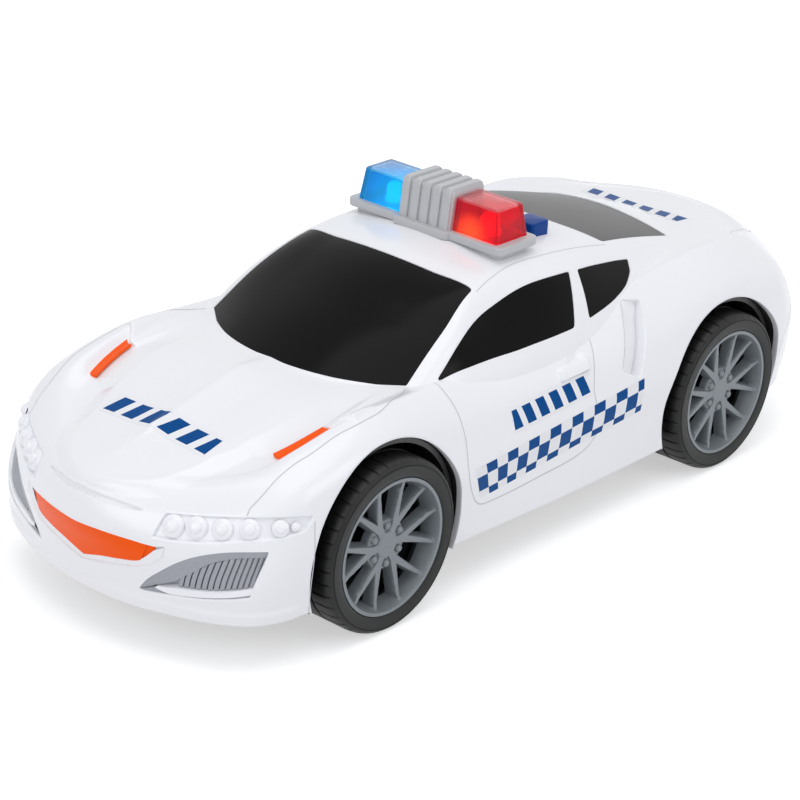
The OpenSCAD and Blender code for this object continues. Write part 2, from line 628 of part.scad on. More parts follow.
// patches that reach across the middle line
function across(grid) = [for (c = grid) concat(c, [for (j = [len(c) - 2 : -1 : 0]) flip(c[j])])];
function over_nose(grid) = concat([for (i = [len(grid) - 1 : -1 : 1]) [for (p = grid[i]) flip(p)]], grid);
function three_way(low, half, high, s, t, g) = let (a = edge_at(low, s), b = edge_at(half, s),
    c = edge_at(high, s))
    a + (4 * b - 3 * a - c) * t + (2 * a - 4 * b + 2 * c) * t * t + g * [s * 2 - 1, t - 1];
function cabin_middle(low, half, high, d, g, m, n) = across([for (i = [0 : m]) [for (j = [0 : n])
    let (q = three_way(low, half, high, i / m, j / n, g), p = cabin_at(q[0], min(q[1], middle_v), d))
    j == n ? [p[0], 0, p[2]] : p]]);

module windscreen_slab(top, bottom, g) {
    slab(cabin_middle(windscreen_low, windscreen_half, windscreen_high, top, g, 6, 5),
        cabin_middle(windscreen_low, windscreen_half, windscreen_high, bottom, g, 6, 5));
}

module rear_window_slab(top, bottom, g) {
    slab(cabin_middle(rear_window_low, rear_window_half, rear_window_high, top, g, 6, 5),
        cabin_middle(rear_window_low, rear_window_half, rear_window_high, bottom, g, 6, 5));
}

module door_pane_slab(top, bottom, g) {
    slab(cabin_patch(door_pane_low, door_pane_high, top, g, 8, 3), cabin_patch(door_pane_low,
        door_pane_high, bottom, g, 8, 3));
}

module quarter_pane_slab(top, bottom, g) {
    slab(cabin_patch(quarter_pane_low, quarter_pane_high, top, g, 6, 3),
        cabin_patch(quarter_pane_low, quarter_pane_high, bottom, g, 6, 3));
}

module grille_slab(top, bottom, g) {
    slab(over_nose(hull_patch(grille_low, grille_high, top, g, 6, 2)),
        over_nose(hull_patch(grille_low, grille_high, bottom, g, 6, 2)));
}

module hull_slab(low, high, top, bottom, g, m, n) {
    slab(hull_patch(low, high, top, g, m, n), hull_patch(low, high, bottom, g, m, n));
}

module both_sides() {
    children();
    mirror([0, 1, 0]) children();
}

// a bar along the y axis of the car
module cross_bar(r, y0, y1) {
    translate([0, y1, 0]) rotate([90, 0, 0]) cylinder(r = r, h = y1 - y0);
}

button_half = button_size / 2;
guide_half = button_half + button_gap + guide_wall;
collar_half = button_half + collar_lip;
collar_top = guide_foot - button_gap;
collar_foot = collar_top - collar_thickness;
plunger_foot = board_top + switch_floor + button_travel + plunger_room;
well_radius = arch_radius - well_gap;
// screw pillars and board posts hang from the skin at these places along and up it
front_pillar_place = [40, 58];
rear_pillar_place = [300, 58];
front_post_place = [55, 51];
rear_post_place = [84, 50];
front_pillar = hull_at(front_pillar_place[0], front_pillar_place[1], -shell_wall / 2);
rear_pillar = hull_at(rear_pillar_place[0], rear_pillar_place[1], -shell_wall / 2);
front_post = cabin_at(front_post_place[0], front_post_place[1], -shell_wall / 2);
rear_post = cabin_at(rear_post_place[0], rear_post_place[1], -shell_wall / 2);
pillars = [front_pillar, flip(front_pillar), rear_pillar, flip(rear_pillar)];
posts = [front_post, flip(front_post), flip(rear_post)];
leg_hole = leg_half_pitch + 2 * leg_radius;
plate_bottom = roof_height - 2 * plate_thickness;

module button_shape(half, corner, z0, z1) {
    translate([button_x, button_y, z0]) linear_extrude(z1 - z0) {
        square([2 * half, 2 * (half - corner)], center = true);
        square([2 * (half - corner), 2 * half], center = true);
        for (sx = [-1, 1])
            for (sy = [-1, 1])
                translate([sx * (half - corner), sy * (half - corner)]) circle(corner);
    }
}

module body_shell() {
    color([0.93, 0.93, 0.95]) difference() {
        union() {
            difference() {
                union() {
                    mirrored_skin(hull_grid(hull_u, 0, 0), true);
                    mirrored_skin(cabin_grid(cabin_u, 0, 0), false);
                }
                difference() {
                    union() {
                        mirrored_skin(hull_grid(inner_u, -shell_wall, inner_drop), true);
                        mirrored_skin(cabin_grid(inner_cabin_u, -shell_wall, inner_drop), false);
                    }
                    both_sides() hull_slab(scoop_low, scoop_high, 1, -scoop_depth - shell_wall, shell_wall,
                        2, 3);
                    for (p = pillars)
                        translate([p[0], p[1], 0]) cylinder(r = pillar_radius, h = roof_height);
                    for (p = posts)
                        translate([p[0], p[1], board_top + seat_gap]) cylinder(r = post_radius,
                            h = roof_height);
                    button_shape(guide_half, button_corner, guide_foot, roof_height);
                }
                both_sides() hull_slab(lamp_low, lamp_high, shell_wall, -lamp_recess, 0, 8, 2);
            }
            both_sides() for (q = dome_places)
                translate(hull_at(q[0], q[1], dome_rise - dome_radius)) sphere(dome_radius, $fn = 24);
            both_sides() hull_slab(handle_low, handle_high, handle_height, -shell_wall / 2, 0, 3, 2);
        }
        for (x = [front_axle_x, rear_axle_x])
            translate([x, 0, axle_z]) both_sides() cross_bar(arch_radius, well_inner - well_gap, body_width);
        windscreen_slab(shell_wall, -2 * shell_wall, 0);
        rear_window_slab(shell_wall, -2 * shell_wall, 0);
        both_sides() door_pane_slab(shell_wall, -2 * shell_wall, 0);
        both_sides() quarter_pane_slab(shell_wall, -2 * shell_wall, 0);
        grille_slab(shell_wall, -2 * shell_wall, 0);
        both_sides() hull_slab(intake_low, intake_high, shell_wall, -2 * shell_wall, 0, 6, 3);
        both_sides() hull_slab(strip_low, strip_high, shell_wall, -strip_thickness - strip_gap, 0, 4, 1);
        both_sides() hull_slab(scoop_low, scoop_high, shell_wall, -scoop_depth, 0, 2, 3);
        for (p = pillars)
            translate([p[0], p[1], -floor_top]) cylinder(r = pillar_radius + 1,
                h = 2 * floor_top + screw_sink + seat_gap);
        for (p = pillars)
            translate([p[0], p[1], floor_top]) cylinder(r = screw_radius + seat_gap,
                h = screw_length + screw_sink);
        for (p = posts)
            translate([p[0], p[1], board_top]) cylinder(r = screw_radius + seat_gap, h = screw_length / 2);
        button_shape(button_half + button_gap, button_corner, guide_foot - 1, roof_height + 1);
        for (s = [-1, 1]) {
            translate([bar_x, s * bar_screw_y, guide_foot]) cylinder(r = screw_radius + screw_gap,
                h = roof_height);
            translate([bar_x, s * bulb_y, guide_foot]) cylinder(r = leg_hole, h = roof_height);
        }
    }
}

module windscreen() {
    color([0.05, 0.05, 0.06]) windscreen_slab(0, -pane_thickness, -pane_gap);
}

module rear_window() {
    color([0.05, 0.05, 0.06]) rear_window_slab(0, -pane_thickness, -pane_gap);
}

module left_door_window() {
    color([0.05, 0.05, 0.06]) door_pane_slab(0, -pane_thickness, -pane_gap);
}

module right_door_window() {
    mirror([0, 1, 0]) left_door_window();
}

module left_quarter_window() {
    color([0.05, 0.05, 0.06]) quarter_pane_slab(0, -pane_thickness, -pane_gap);
}

module right_quarter_window() {
    mirror([0, 1, 0]) left_quarter_window();
}

module grille_panel() {
    color([1, 0.42, 0.12]) grille_slab(-grille_recess, -grille_recess - grille_thickness, -pane_gap);
}

// places between two points of an outline edge
function part_of(pts, a, b, n) = [for (i = [0 : n]) edge_at(pts, a + (b - a) * i / n)];

module left_intake_grille() {
    color([0.62, 0.64, 0.68]) union() {
        hull_slab(intake_low, intake_high, -intake_recess, -intake_recess - intake_floor, -intake_gap, 6, 3);
        for (k = [1 : intake_slats])
            let (a = k / (intake_slats + 1), b = a + slat_share / (intake_slats + 1))
            slab(hull_patch(part_of(intake_low, a, b, 1), part_of(intake_high, a, b, 1),
                slat_height - intake_recess, -intake_gap - pane_gap, 1, 3),
                hull_patch(part_of(intake_low, a, b, 1), part_of(intake_high, a, b, 1),
                -intake_recess - intake_floor / 2, -intake_gap - pane_gap, 1, 3));
    }
}

module right_intake_grille() {
    mirror([0, 1, 0]) left_intake_grille();
}

module left_hood_strip() {
    color([1, 0.42, 0.12]) hull_slab(strip_low, strip_high, seat_gap, seat_gap - strip_thickness,
        -pane_gap, 4, 1);
}

module right_hood_strip() {
    mirror([0, 1, 0]) left_hood_strip();
}

// a rounded plate round the middle of the light bar
module bar_plate(depth, width, corner) {
    square([depth, width - 2 * corner], center = true);
    square([depth - 2 * corner, width], center = true);
    for (sx = [-1, 1])
        for (sy = [-1, 1])
            translate([sx * (depth / 2 - corner), sy * (width / 2 - corner)]) circle(corner);
}

module lightbar_base() {
    color([0.62, 0.63, 0.65]) difference() {
        translate([bar_x, 0, 0]) union() {
            translate([0, 0, bar_top - plate_thickness]) linear_extrude(plate_thickness) union() {
                bar_plate(bar_depth, bar_length, plate_corner);
                bar_plate(bar_waist_depth, cover_width + plate_corner, plate_corner);
            }
            translate([0, 0, plate_bottom]) linear_extrude(bar_top - plate_thickness / 2 - plate_bottom)
                bar_plate(bar_depth - 2 * skirt_inset, bar_length - 2 * skirt_inset, plate_corner);
            for (s = [-1, 1])
                translate([0, s * bar_screw_y, plate_bottom]) cylinder(r = bar_boss_radius,
                    h = bar_top - plate_bottom + bar_boss_height);
        }
        mirrored_skin(cabin_grid(cabin_u, seat_gap, 0), false);
        for (s = [-1, 1]) {
            translate([bar_x, s * bar_screw_y, guide_foot]) cylinder(r = screw_radius + seat_gap,
                h = bar_top - guide_foot + bar_boss_height / 2);
            translate([bar_x, s * bulb_y, guide_foot]) cylinder(r = leg_hole, h = roof_height);
        }
    }
}

// side view of the ribbed cover
function cover_side(rise, wall) = [[-cover_depth / 2 - rise + wall, 0], [cover_depth / 2 + rise - wall, 0],
    [cover_depth / 2 + rise - wall - lens_lean, cover_height + rise - wall],
    [-cover_depth / 2 - rise + wall + lens_lean, cover_height + rise - wall]];

module cover_slice(pts, y0, y1) {
    translate([bar_x, y1, bar_top + seat_gap]) rotate([90, 0, 0]) linear_extrude(y1 - y0) polygon(pts);
}

module lightbar_cover() {
    pitch = cover_width / cover_ribs;
    color([0.62, 0.63, 0.65]) difference() {
        union() {
            cover_slice(cover_side(0, 0), -cover_width / 2, cover_width / 2);
            for (k = [0 : cover_ribs - 1])
                cover_slice(cover_side(rib_rise, 0), (k + (1 - rib_share) / 2) * pitch - cover_width / 2,
                    (k + (1 + rib_share) / 2) * pitch - cover_width / 2);
        }
        translate([0, 0, -eps]) cover_slice(cover_side(0, lens_wall), -cover_width / 2 + lens_wall,
            cover_width / 2 - lens_wall);
    }
}

// lens block, w is taken off every face except the foot
module lens_block(w) {
    y0 = cover_width / 2 + pane_gap + w;
    y1 = cover_width / 2 + pane_gap + lens_length - w;
    d = lens_depth / 2 - w;
    z0 = bar_top + (w > 0 ? -eps : seat_gap);
    z1 = bar_top + lens_height - w;
    e = lens_lean;
    polyhedron([[bar_x - d, y0, z0], [bar_x + d, y0, z0], [bar_x + d, y1, z0], [bar_x - d, y1, z0],
        [bar_x - d + e, y0, z1], [bar_x + d - e, y0, z1], [bar_x + d - e, y1 - e, z1], [bar_x - d + e,
            y1 - e, z1]],
        [[0, 1, 2, 3], [4, 7, 6, 5], [0, 4, 5, 1], [1, 5, 6, 2], [2, 6, 7, 3], [3, 7, 4, 0]]);
}

module red_lens() {
    color([0.95, 0.08, 0.12]) difference() {
        lens_block(0);
        lens_block(lens_wall);
    }
}

module blue_lens() {
    color([0.05, 0.45, 0.9]) mirror([0, 1, 0]) difference() {
        lens_block(0);
        lens_block(lens_wall);
    }
}

module bulb() {
    translate([bar_x, bulb_y, bar_top + seat_gap]) {
        cylinder(r = bulb_radius + bulb_flange, h = bulb_foot);
        cylinder(r = bulb_radius, h = bulb_height - bulb_radius);
        translate([0, 0, bulb_height - bulb_radius]) sphere(bulb_radius);
    }
    for (s = [-1, 1])
        translate([bar_x, bulb_y + s * leg_half_pitch, board_top + seat_gap]) cylinder(r = leg_radius,
            h = bar_top - board_top + bulb_foot / 2);
}

module red_led() {
    color([0.95, 0.4, 0.35]) bulb();
}

module blue_led() {
    color([0.5, 0.75, 0.95]) mirror([0, 1, 0]) bulb();
}

// one screw, head at the foot, pointing up
module screw(length) {
    translate([0, 0, -head_height]) difference() {
        union() {
            cylinder(r = head_radius, h = head_height);
            cylinder(r = screw_radius, h = head_height + length);
        }
        for (a = [0, 90])
            rotate([0, 0, a]) translate([-head_radius * slot_share, -slot_width / 2, -eps])
                cube([2 * head_radius * slot_share, slot_width, head_height / 2]);
    }
}

module lightbar_screws() {
    top = roof_height - shell_wall - crown_drop;
    color([0.75, 0.75, 0.77]) for (s = [-1, 1])
        translate([bar_x, s * bar_screw_y, top]) screw(bar_top - top + bar_boss_height / 2 - screw_gap);
}

// floor outline, narrow between the wheels
well_foot = sqrt(well_radius * well_radius - (axle_z - floor_bottom) * (axle_z - floor_bottom))
    - well_wall / 2;
function floor_outline() = let (a = floor_half_length, b = floor_end_half_width,
    w = well_inner + well_wall / 2, h = floor_half_width,
    p = front_axle_x + well_foot, q = front_axle_x - well_foot,
    c = floor_cut, e = floor_cut_length)
    [[a, -b + c], [a, b - c], [a - e, b], [p, b], [p, w], [q, w], [q, h], [-q, h], [-q, w], [-p, w], [-p, b],
    [-a + e, b], [-a, b - c], [-a, -b + c], [-a + e, -b], [-p, -b], [-p, -w], [-q, -w], [-q, -h], [q, -h],
        [q, -w],
    [p, -w], [p, -b], [a - e, -b]];
box_length = cell_length + 2 * contact_room;
box_half = cell_pitch * (cell_count - 1) / 2 + cell_radius + cell_gap;
cell_z = floor_bottom + door_thickness + cell_gap + cell_radius;
box_top = cell_z + cell_radius + cell_gap;
lug_x = box_x + box_length / 2 + lug_reach;
ring_radius = speaker_radius + ring_gap;
// places in the gear train
gear_radius = gear_module * gear_teeth / 2;
pinion_radius = gear_module * pinion_teeth / 2;
mesh_distance = gear_radius + pinion_radius;
tip_rise = tip_share * gear_module;
root_drop = root_share * gear_module;
idler_x = rear_axle_x + mesh_distance * cos(idler_angle);
idler_z = axle_z + mesh_distance * sin(idler_angle);
flywheel_x = idler_x + mesh_distance * cos(flywheel_angle);
flywheel_z = idler_z + mesh_distance * sin(flywheel_angle);
idler_y = drive_y + gear_face + case_room;
flywheel_y = idler_y + gear_face + case_room + pinion_extra;
cavity_y0 = drive_y - case_room;
cavity_y1 = flywheel_y + flywheel_width + case_room;
cavity_x0 = rear_axle_x - gear_radius - tip_rise - case_room;
cavity_x1 = flywheel_x + flywheel_radius + case_room;
cavity_z0 = axle_z - gear_radius - tip_rise - case_room;
cavity_z1 = flywheel_z + flywheel_radius + case_room;
case_x0 = cavity_x0 - case_wall;
case_x1 = cavity_x1 + case_wall;
case_y0 = cavity_y0 - case_wall;
case_y1 = cavity_y1 + case_wall;
tab_places = [[case_x0 - tab_length / 2, (case_y0 + case_y1) / 2],
    [case_x1 - tab_length / 2, case_y0 - tab_length / 2]];

module box_between(a, b) {
    translate(a) cube(b - a);
}

module chassis() {
    color([0.08, 0.08, 0.09]) difference() {
        union() {
            translate([0, 0, floor_bottom]) linear_extrude(floor_thickness) polygon(floor_outline());
            for (x = [front_axle_x, rear_axle_x])
                translate([x, 0, axle_z]) both_sides() difference() {
                    cross_bar(well_radius, well_inner, well_outer);
                    cross_bar(well_radius - well_wall, well_inner + well_wall, well_outer + 1);
                    translate([-well_radius - 1, 0, -2 * well_radius - axle_z + floor_bottom])
                        cube([2 * well_radius + 2, body_width, 2 * well_radius]);
                }
            for (x = [front_axle_x, rear_axle_x])
                both_sides() box_between([x - bearing_half_width, well_inner - bearing_thickness,
                    floor_bottom],
                    [x + bearing_half_width, well_inner + well_wall / 2, axle_z + bearing_half_width]);
            box_between([box_x - box_length / 2 - box_wall, -box_half - box_wall, floor_bottom],
                [box_x + box_length / 2 + box_wall, box_half + box_wall, box_top + box_wall]);
            translate([lug_x, lug_y, floor_bottom]) cylinder(r = lug_radius, h = box_top - floor_bottom);
            translate([speaker_x, 0, floor_bottom]) cylinder(r = ring_radius + box_wall,
                h = floor_thickness + speaker_height - 2);
            for (p = tab_places)
                translate([p[0], p[1], floor_bottom]) cylinder(r = tab_length / 2, h = floor_thickness);
            for (p = pillars)
                translate([p[0], p[1], floor_bottom]) cylinder(r = head_radius + screw_gap + sink_wall,
                    h = floor_thickness + screw_sink);
        }
        for (x = [front_axle_x, rear_axle_x])
            translate([x, 0, axle_z]) cross_bar(axle_radius + axle_gap, -body_width, body_width);
        box_between([box_x - box_length / 2, -box_half, floor_bottom - 1], [box_x + box_length / 2,
            box_half, box_top]);
        box_between([box_x, lug_y - lug_radius - door_gap, floor_bottom - 1],
            [lug_x + lug_radius + door_gap, lug_y + lug_radius + door_gap, floor_bottom + door_thickness]);
        translate([lug_x, lug_y, floor_bottom]) cylinder(r = screw_radius + seat_gap,
            h = screw_length + door_sink);
        translate([lug_x, lug_y, 0]) cylinder(r = lug_radius + door_gap,
            h = floor_bottom + door_sink + door_thickness);
        translate([speaker_x, 0, floor_top]) cylinder(r = ring_radius, h = speaker_height);
        translate([speaker_x, 0, floor_bottom - 1]) {
            cylinder(r = sound_hole_radius, h = 2 * floor_thickness);
            for (r = [sound_pitch, 2 * sound_pitch])
                for (k = [0 : sound_holes - 1])
                    rotate([0, 0, k * 360 / sound_holes]) translate([r, 0, 0])
                        cylinder(r = sound_hole_radius, h = 2 * floor_thickness);
        }
        box_between([case_x0 - door_gap, case_y0 - door_gap, 0], [case_x1 + door_gap, case_y1 + door_gap,
            floor_top + 1]);
        for (p = pillars)
            translate([p[0], p[1], 0]) {
                cylinder(r = screw_radius + screw_gap, h = 2 * floor_top);
                cylinder(r = head_radius + screw_gap, h = floor_bottom + screw_sink);
            }
        for (p = tab_places)
            translate([p[0], p[1], 0]) cylinder(r = screw_radius + seat_gap, h = floor_top + 1);
        for (s = [-1, 1])
            translate([box_x - box_length / 2 + contact_thickness * 2, s * cell_pitch / 2, box_top - 1])
                cylinder(r = lead_radius + 2 * screw_gap, h = 2 * box_wall);
    }
}

module chassis_screws() {
    color([0.75, 0.75, 0.77]) for (p = pillars)
        translate([p[0], p[1], floor_bottom + screw_sink - seat_gap]) screw(screw_length);
}

module battery_door() {
    color([0.1, 0.1, 0.11]) difference() {
        union() {
            box_between([box_x - box_length / 2 + door_gap, -box_half + door_gap, floor_bottom],
                [box_x + box_length / 2 - door_gap, box_half - door_gap,
                    floor_bottom + door_thickness - door_gap / 2]);
            box_between([box_x, lug_y - lug_radius, floor_bottom],
                [lug_x + lug_radius, lug_y + lug_radius, floor_bottom + door_thickness - door_gap / 2]);
            translate([lug_x, lug_y, floor_bottom]) cylinder(r = lug_radius,
                h = door_sink + door_thickness - door_gap / 2);
        }
        translate([lug_x, lug_y, 0]) cylinder(r = screw_radius + screw_gap, h = 2 * floor_top);
        translate([lug_x, lug_y, 0]) cylinder(r = head_radius + screw_gap, h = floor_bottom + door_sink);
    }
}

module battery_door_screw() {
    color([0.75, 0.75, 0.77]) translate([lug_x, lug_y, floor_bottom + door_sink - seat_gap])
        screw(screw_length - 2 * door_sink);
}

module battery_cells() {
    color([0.15, 0.45, 0.3]) for (k = [0 : cell_count - 1])
        translate([box_x, (k - (cell_count - 1) / 2) * cell_pitch, cell_z]) rotate([0, 90, k % 2 * 180]) {
            translate([0, 0, -cell_length / 2]) cylinder(r = cell_radius, h = cell_length - pip_height);
            translate([0, 0, cell_length / 2 - pip_height - eps]) cylinder(r = pip_radius, h = pip_height);
        }
}

module battery_contacts() {
    color([0.8, 0.78, 0.7]) for (s = [-1, 1])
        translate([box_x + s * (box_length / 2 - contact_thickness), 0, cell_z]) {
            for (k = [0 : cell_count - 1])
                translate([-s * (contact_room - contact_thickness) / 2, (k - (cell_count - 1) / 2)
                    * cell_pitch, 0])
                    rotate([0, 90, 0]) cylinder(r = contact_radius,
                        h = contact_room - contact_thickness - 2 * eps, center = true);
            cube([contact_thickness, 2 * box_half - 1, 2 * cell_radius - 1], center = true);
        }
}

module circuit_board() {
    color([0.1, 0.4, 0.2]) difference() {
        box_between([board_rear, -board_half_width, board_top - board_thickness], [board_front,
            board_half_width, board_top]);
        for (p = posts)
            translate([p[0], p[1], 0]) cylinder(r = screw_radius + screw_gap, h = roof_height);
    }
}

module board_screws() {
    color([0.75, 0.75, 0.77]) for (p = posts)
        translate([p[0], p[1], board_top - board_thickness - seat_gap]) screw(screw_length / 2);
}

module tact_switch() {
    color([0.12, 0.12, 0.13]) difference() {
        translate([button_x, button_y, board_top + seat_gap + (switch_height - seat_gap) / 2])
            cube([switch_side, switch_side, switch_height - seat_gap], center = true);
        translate([button_x, button_y, board_top + switch_floor]) cylinder(r = plunger_radius + axle_gap,
            h = switch_height);
    }
}

module switch_plunger() {
    color([0.2, 0.2, 0.22]) translate([button_x, button_y, plunger_foot])
        cylinder(r = plunger_radius, h = collar_foot - seat_gap - plunger_foot);
}

module siren_button() {
    color([0.03, 0.25, 0.55]) union() {
        button_shape(button_half, button_corner, collar_foot, button_top);
        button_shape(collar_half, button_corner, collar_foot, collar_top);
    }
}

module speaker() {
    color([0.2, 0.2, 0.21]) translate([speaker_x, 0, floor_top + seat_gap]) {
        cylinder(r = speaker_radius, h = speaker_rim);
        cylinder(r1 = speaker_radius - 1, r2 = basket_radius, h = speaker_height - 2);
        cylinder(r = magnet_radius, h = speaker_height);
    }
}

module speaker_ring() {
    color([0.1, 0.1, 0.11]) translate([speaker_x, 0, floor_top + speaker_rim + 2 * seat_gap]) difference() {
        cylinder(r = ring_radius - screw_gap, h = ring_thickness);
        translate([0, 0, -1]) cylinder(r = speaker_radius - 1, h = 2 + ring_thickness);
    }
}

// gear outline with straight-sided working flanks taken from the base circle
function roll(a) = tan(a) * 180 / PI - a;
function flank(n, r) = let (rb = gear_module * n / 2 * cos(pressure_angle))
    90 / n - backlash / (gear_module * n) * 180 / PI / 2 + roll(pressure_angle) - roll(acos(min(1,
        rb / max(r, rb))));
function spoke_to(r, a) = [r * cos(a), r * sin(a)];
function gear_outline(n, turn) = let (rp = gear_module * n / 2, rb = rp * cos(pressure_angle), r0 = max(rb,
    rp - root_drop),
    rs = concat([rp - root_drop], [for (q = [0 : 4]) r0 + (rp + tip_rise - r0) * q / 4]))
    [for (k = [0 : n - 1]) each concat([for (r = rs) spoke_to(r, turn + k * 360 / n - flank(n, max(r, r0)))],
        [for (i = [len(rs) - 1 : -1 : 0]) spoke_to(rs[i], turn + k * 360 / n + flank(n, max(rs[i], r0)))])];

module gear(n, turn, y0, face) {
    translate([0, y0 + face, 0]) rotate([90, 0, 0]) linear_extrude(face) polygon(gear_outline(n, turn));
}

module drive_gear() {
    color([0.85, 0.83, 0.75]) translate([rear_axle_x, 0, axle_z]) difference() {
        gear(gear_teeth, idler_angle, drive_y, gear_face);
        cross_bar(axle_radius + seat_gap, drive_y - 1, drive_y + gear_face + 1);
    }
}

module idler_gear() {
    color([0.85, 0.83, 0.75]) translate([idler_x, 0, idler_z]) difference() {
        union() {
            gear(pinion_teeth, idler_angle + 180 + 180 / pinion_teeth, drive_y - pinion_extra / 2,
                idler_y - drive_y + pinion_extra);
            gear(gear_teeth, flywheel_angle, idler_y, gear_face);
        }
        cross_bar(pin_radius + axle_gap, cavity_y0, cavity_y1);
    }
}

module idler_pin() {
    color([0.75, 0.75, 0.77]) translate([idler_x, 0, idler_z]) cross_bar(pin_radius, case_y0 + end_play,
        case_y1 - end_play);
}

module flywheel() {
    color([0.6, 0.6, 0.62]) translate([flywheel_x, 0, flywheel_z]) {
        gear(pinion_teeth, flywheel_angle + 180 + 180 / pinion_teeth, idler_y - pinion_extra / 2,
            flywheel_y - idler_y + pinion_extra);
        cross_bar(flywheel_radius, flywheel_y, flywheel_y + flywheel_width);
        cross_bar(pin_radius, case_y0 + end_play, case_y1 - end_play);
    }
}

module case_bores() {
    translate([rear_axle_x, 0, axle_z]) cross_bar(axle_radius + axle_gap, -body_width, body_width);
    translate([idler_x, 0, idler_z]) cross_bar(pin_radius + seat_gap, -body_width, body_width);
    translate([flywheel_x, 0, flywheel_z]) cross_bar(pin_radius + axle_gap, -body_width, body_width);
}

module gear_case() {
    color([0.75, 0.75, 0.72]) difference() {
        union() {
            box_between([case_x0, case_y0, cavity_z0 - case_wall], [case_x1, cavity_y1,
                cavity_z1 + case_wall]);
            for (p = tab_places)
                box_between([p[0] - tab_length / 2, p[1] - tab_length / 2, floor_top + seat_gap],
                    [p[0] + tab_length / 2 + 1, p[1] + tab_length / 2 + 1, floor_top + tab_thickness]);
        }
        box_between([cavity_x0, cavity_y0, cavity_z0], [cavity_x1, cavity_y1 + 1, cavity_z1]);
        case_bores();
        for (p = tab_places)
            translate([p[0], p[1], 0]) cylinder(r = screw_radius + screw_gap, h = 2 * floor_top);
    }
}

module gear_case_cover() {
    color([0.75, 0.75, 0.72]) difference() {
        union() {
            box_between([case_x0, cavity_y1 + seat_gap, cavity_z0 - case_wall], [case_x1, case_y1,
                cavity_z1 + case_wall]);
            box_between([cavity_x0 + screw_gap, cavity_y1 - case_wall / 3, cavity_z1 - lid_depth],
                [cavity_x1 - screw_gap, cavity_y1 + case_wall / 3, cavity_z1 - screw_gap]);
        }
        case_bores();
    }
}

module gear_case_screws() {
    color([0.75, 0.75, 0.77]) for (p = tab_places)
        translate([p[0], p[1], floor_top + tab_thickness + seat_gap]) rotate([180, 0, 0])
            screw(case_screw_length);
}

// a straight lead between two points
module lead(a, b) {
    v = b - a;
    translate(a) rotate([0, acos(v[2] / norm(v)), atan2(v[1], v[0])]) cylinder(r = lead_radius,
        h = norm(v), $fn = 16);
}

module battery_lead() {
    x = box_x - box_length / 2 + 2 * contact_thickness;
    color([0.7, 0.1, 0.1]) for (s = [-1, 1])
        lead([x, s * cell_pitch / 2, cell_z + cell_radius], [x, s * cell_pitch / 2,
            board_top - board_thickness - seat_gap]);
}

module speaker_lead() {
    color([0.15, 0.15, 0.6]) for (s = [-1, 1])
        lead([speaker_x - lead_offset, s * lead_spread, floor_top + speaker_height + lead_radius],
            [board_front - lead_inset, s * lead_spread, board_top - board_thickness - lead_radius]);
}

axle_half = wheel_face - spoke_setback - axle_setback;

module axle() {
    cross_bar(axle_radius, -axle_half, axle_half);
}

// section of a tyre, radius first and distance from the tyre face second
function round_corner(cx, cy, r, a0, a1, n) = [for (i = [0 : n]) [cx + r * cos(a0 + (a1 - a0) * i / n),
    cy + r * sin(a0 + (a1 - a0) * i / n)]];
function tyre_section() = let (r = tyre_radius, s = tyre_shoulder, w = tyre_width,
    b = rim_radius + seat_gap, g = groove_depth)
    concat([[b, -tyre_lip], [b + tyre_lip, -g / 2], [b + 2 * tyre_lip, 0], [r - s, 0]], round_corner(r - s,
        -s, s, 90, 0, 5),
    [for (t = [groove_place, 2 * groove_place]) each [[r, -w * t], [r - g, -w * t - g / 2],
    [r - g, -w * (t + groove_share) - g / 2], [r, -w * (t + groove_share) - g]]],
    round_corner(r - s, -w + s, s, 0, -90, 5), [[b, -w]]);

module tyre() {
    rotate_extrude($fn = 96) polygon(tyre_section());
}

function rim_section() = let (r = rim_radius, w = barrel_wall, d = tyre_width - 1, e = rim_edge)
    [[r - w - e, -2 * e], [r - 1.5 * e, -e], [r, -2.5 * e], [r, -d], [r - w, -d],
    [r - w, -spoke_setback - spoke_thickness], [r - w - e, -4 * e]];

module rim() {
    difference() {
        union() {
            rotate_extrude($fn = 96) polygon(rim_section());
            translate([0, 0, -spoke_setback - hub_length]) cylinder(r = hub_radius - barrel_wall,
                h = hub_length - 1);
            translate([0, 0, -spoke_setback - spoke_thickness]) cylinder(r = hub_radius,
                h = spoke_thickness - 1);
            translate([0, 0, -spoke_setback - 3 * rim_edge]) cylinder(r1 = cap_radius + rim_edge,
                r2 = cap_radius - rim_edge, h = 3 * rim_edge);
            for (k = [0 : spoke_pairs - 1])
                rotate([0, 0, k * 360 / spoke_pairs]) {
                    translate([0, 0, -spoke_setback - spoke_thickness])
                        linear_extrude(spoke_thickness - rim_edge)
                        for (s = [-1, 1])
                            polygon([spoke_to(cap_radius - 1, 0), spoke_to(hub_radius - 1,
                                s * spoke_foot_angle),
                                spoke_to(rim_radius - barrel_wall / 2,
                                    s * (90 / spoke_pairs + spoke_tip_angle)),
                                spoke_to(rim_radius - barrel_wall / 2,
                                    s * (90 / spoke_pairs - spoke_tip_angle)),
                                spoke_to(hub_radius + 2, s * crotch_angle)]);
                    rotate([0, 0, 180 / spoke_pairs]) translate([nut_ring, 0,
                        -spoke_setback - spoke_thickness])
                        cylinder(r = nut_radius, h = spoke_thickness);
                }
        }
        translate([0, 0, -tyre_width - hub_length]) cylinder(r = axle_radius + seat_gap,
            h = tyre_width + hub_length - spoke_setback - 2);
    }
}

module on_axle(x, side) {
    translate([x, side * wheel_face, axle_z]) rotate([side * -90, 0, 0]) children();
}

module front_axle() {
    color([0.75, 0.75, 0.77]) translate([front_axle_x, 0, axle_z]) axle();
}

module left_front_rim() {
    color([0.43, 0.46, 0.49]) on_axle(front_axle_x, 1) rim();
}

module right_front_rim() {
    color([0.43, 0.46, 0.49]) on_axle(front_axle_x, -1) rim();
}

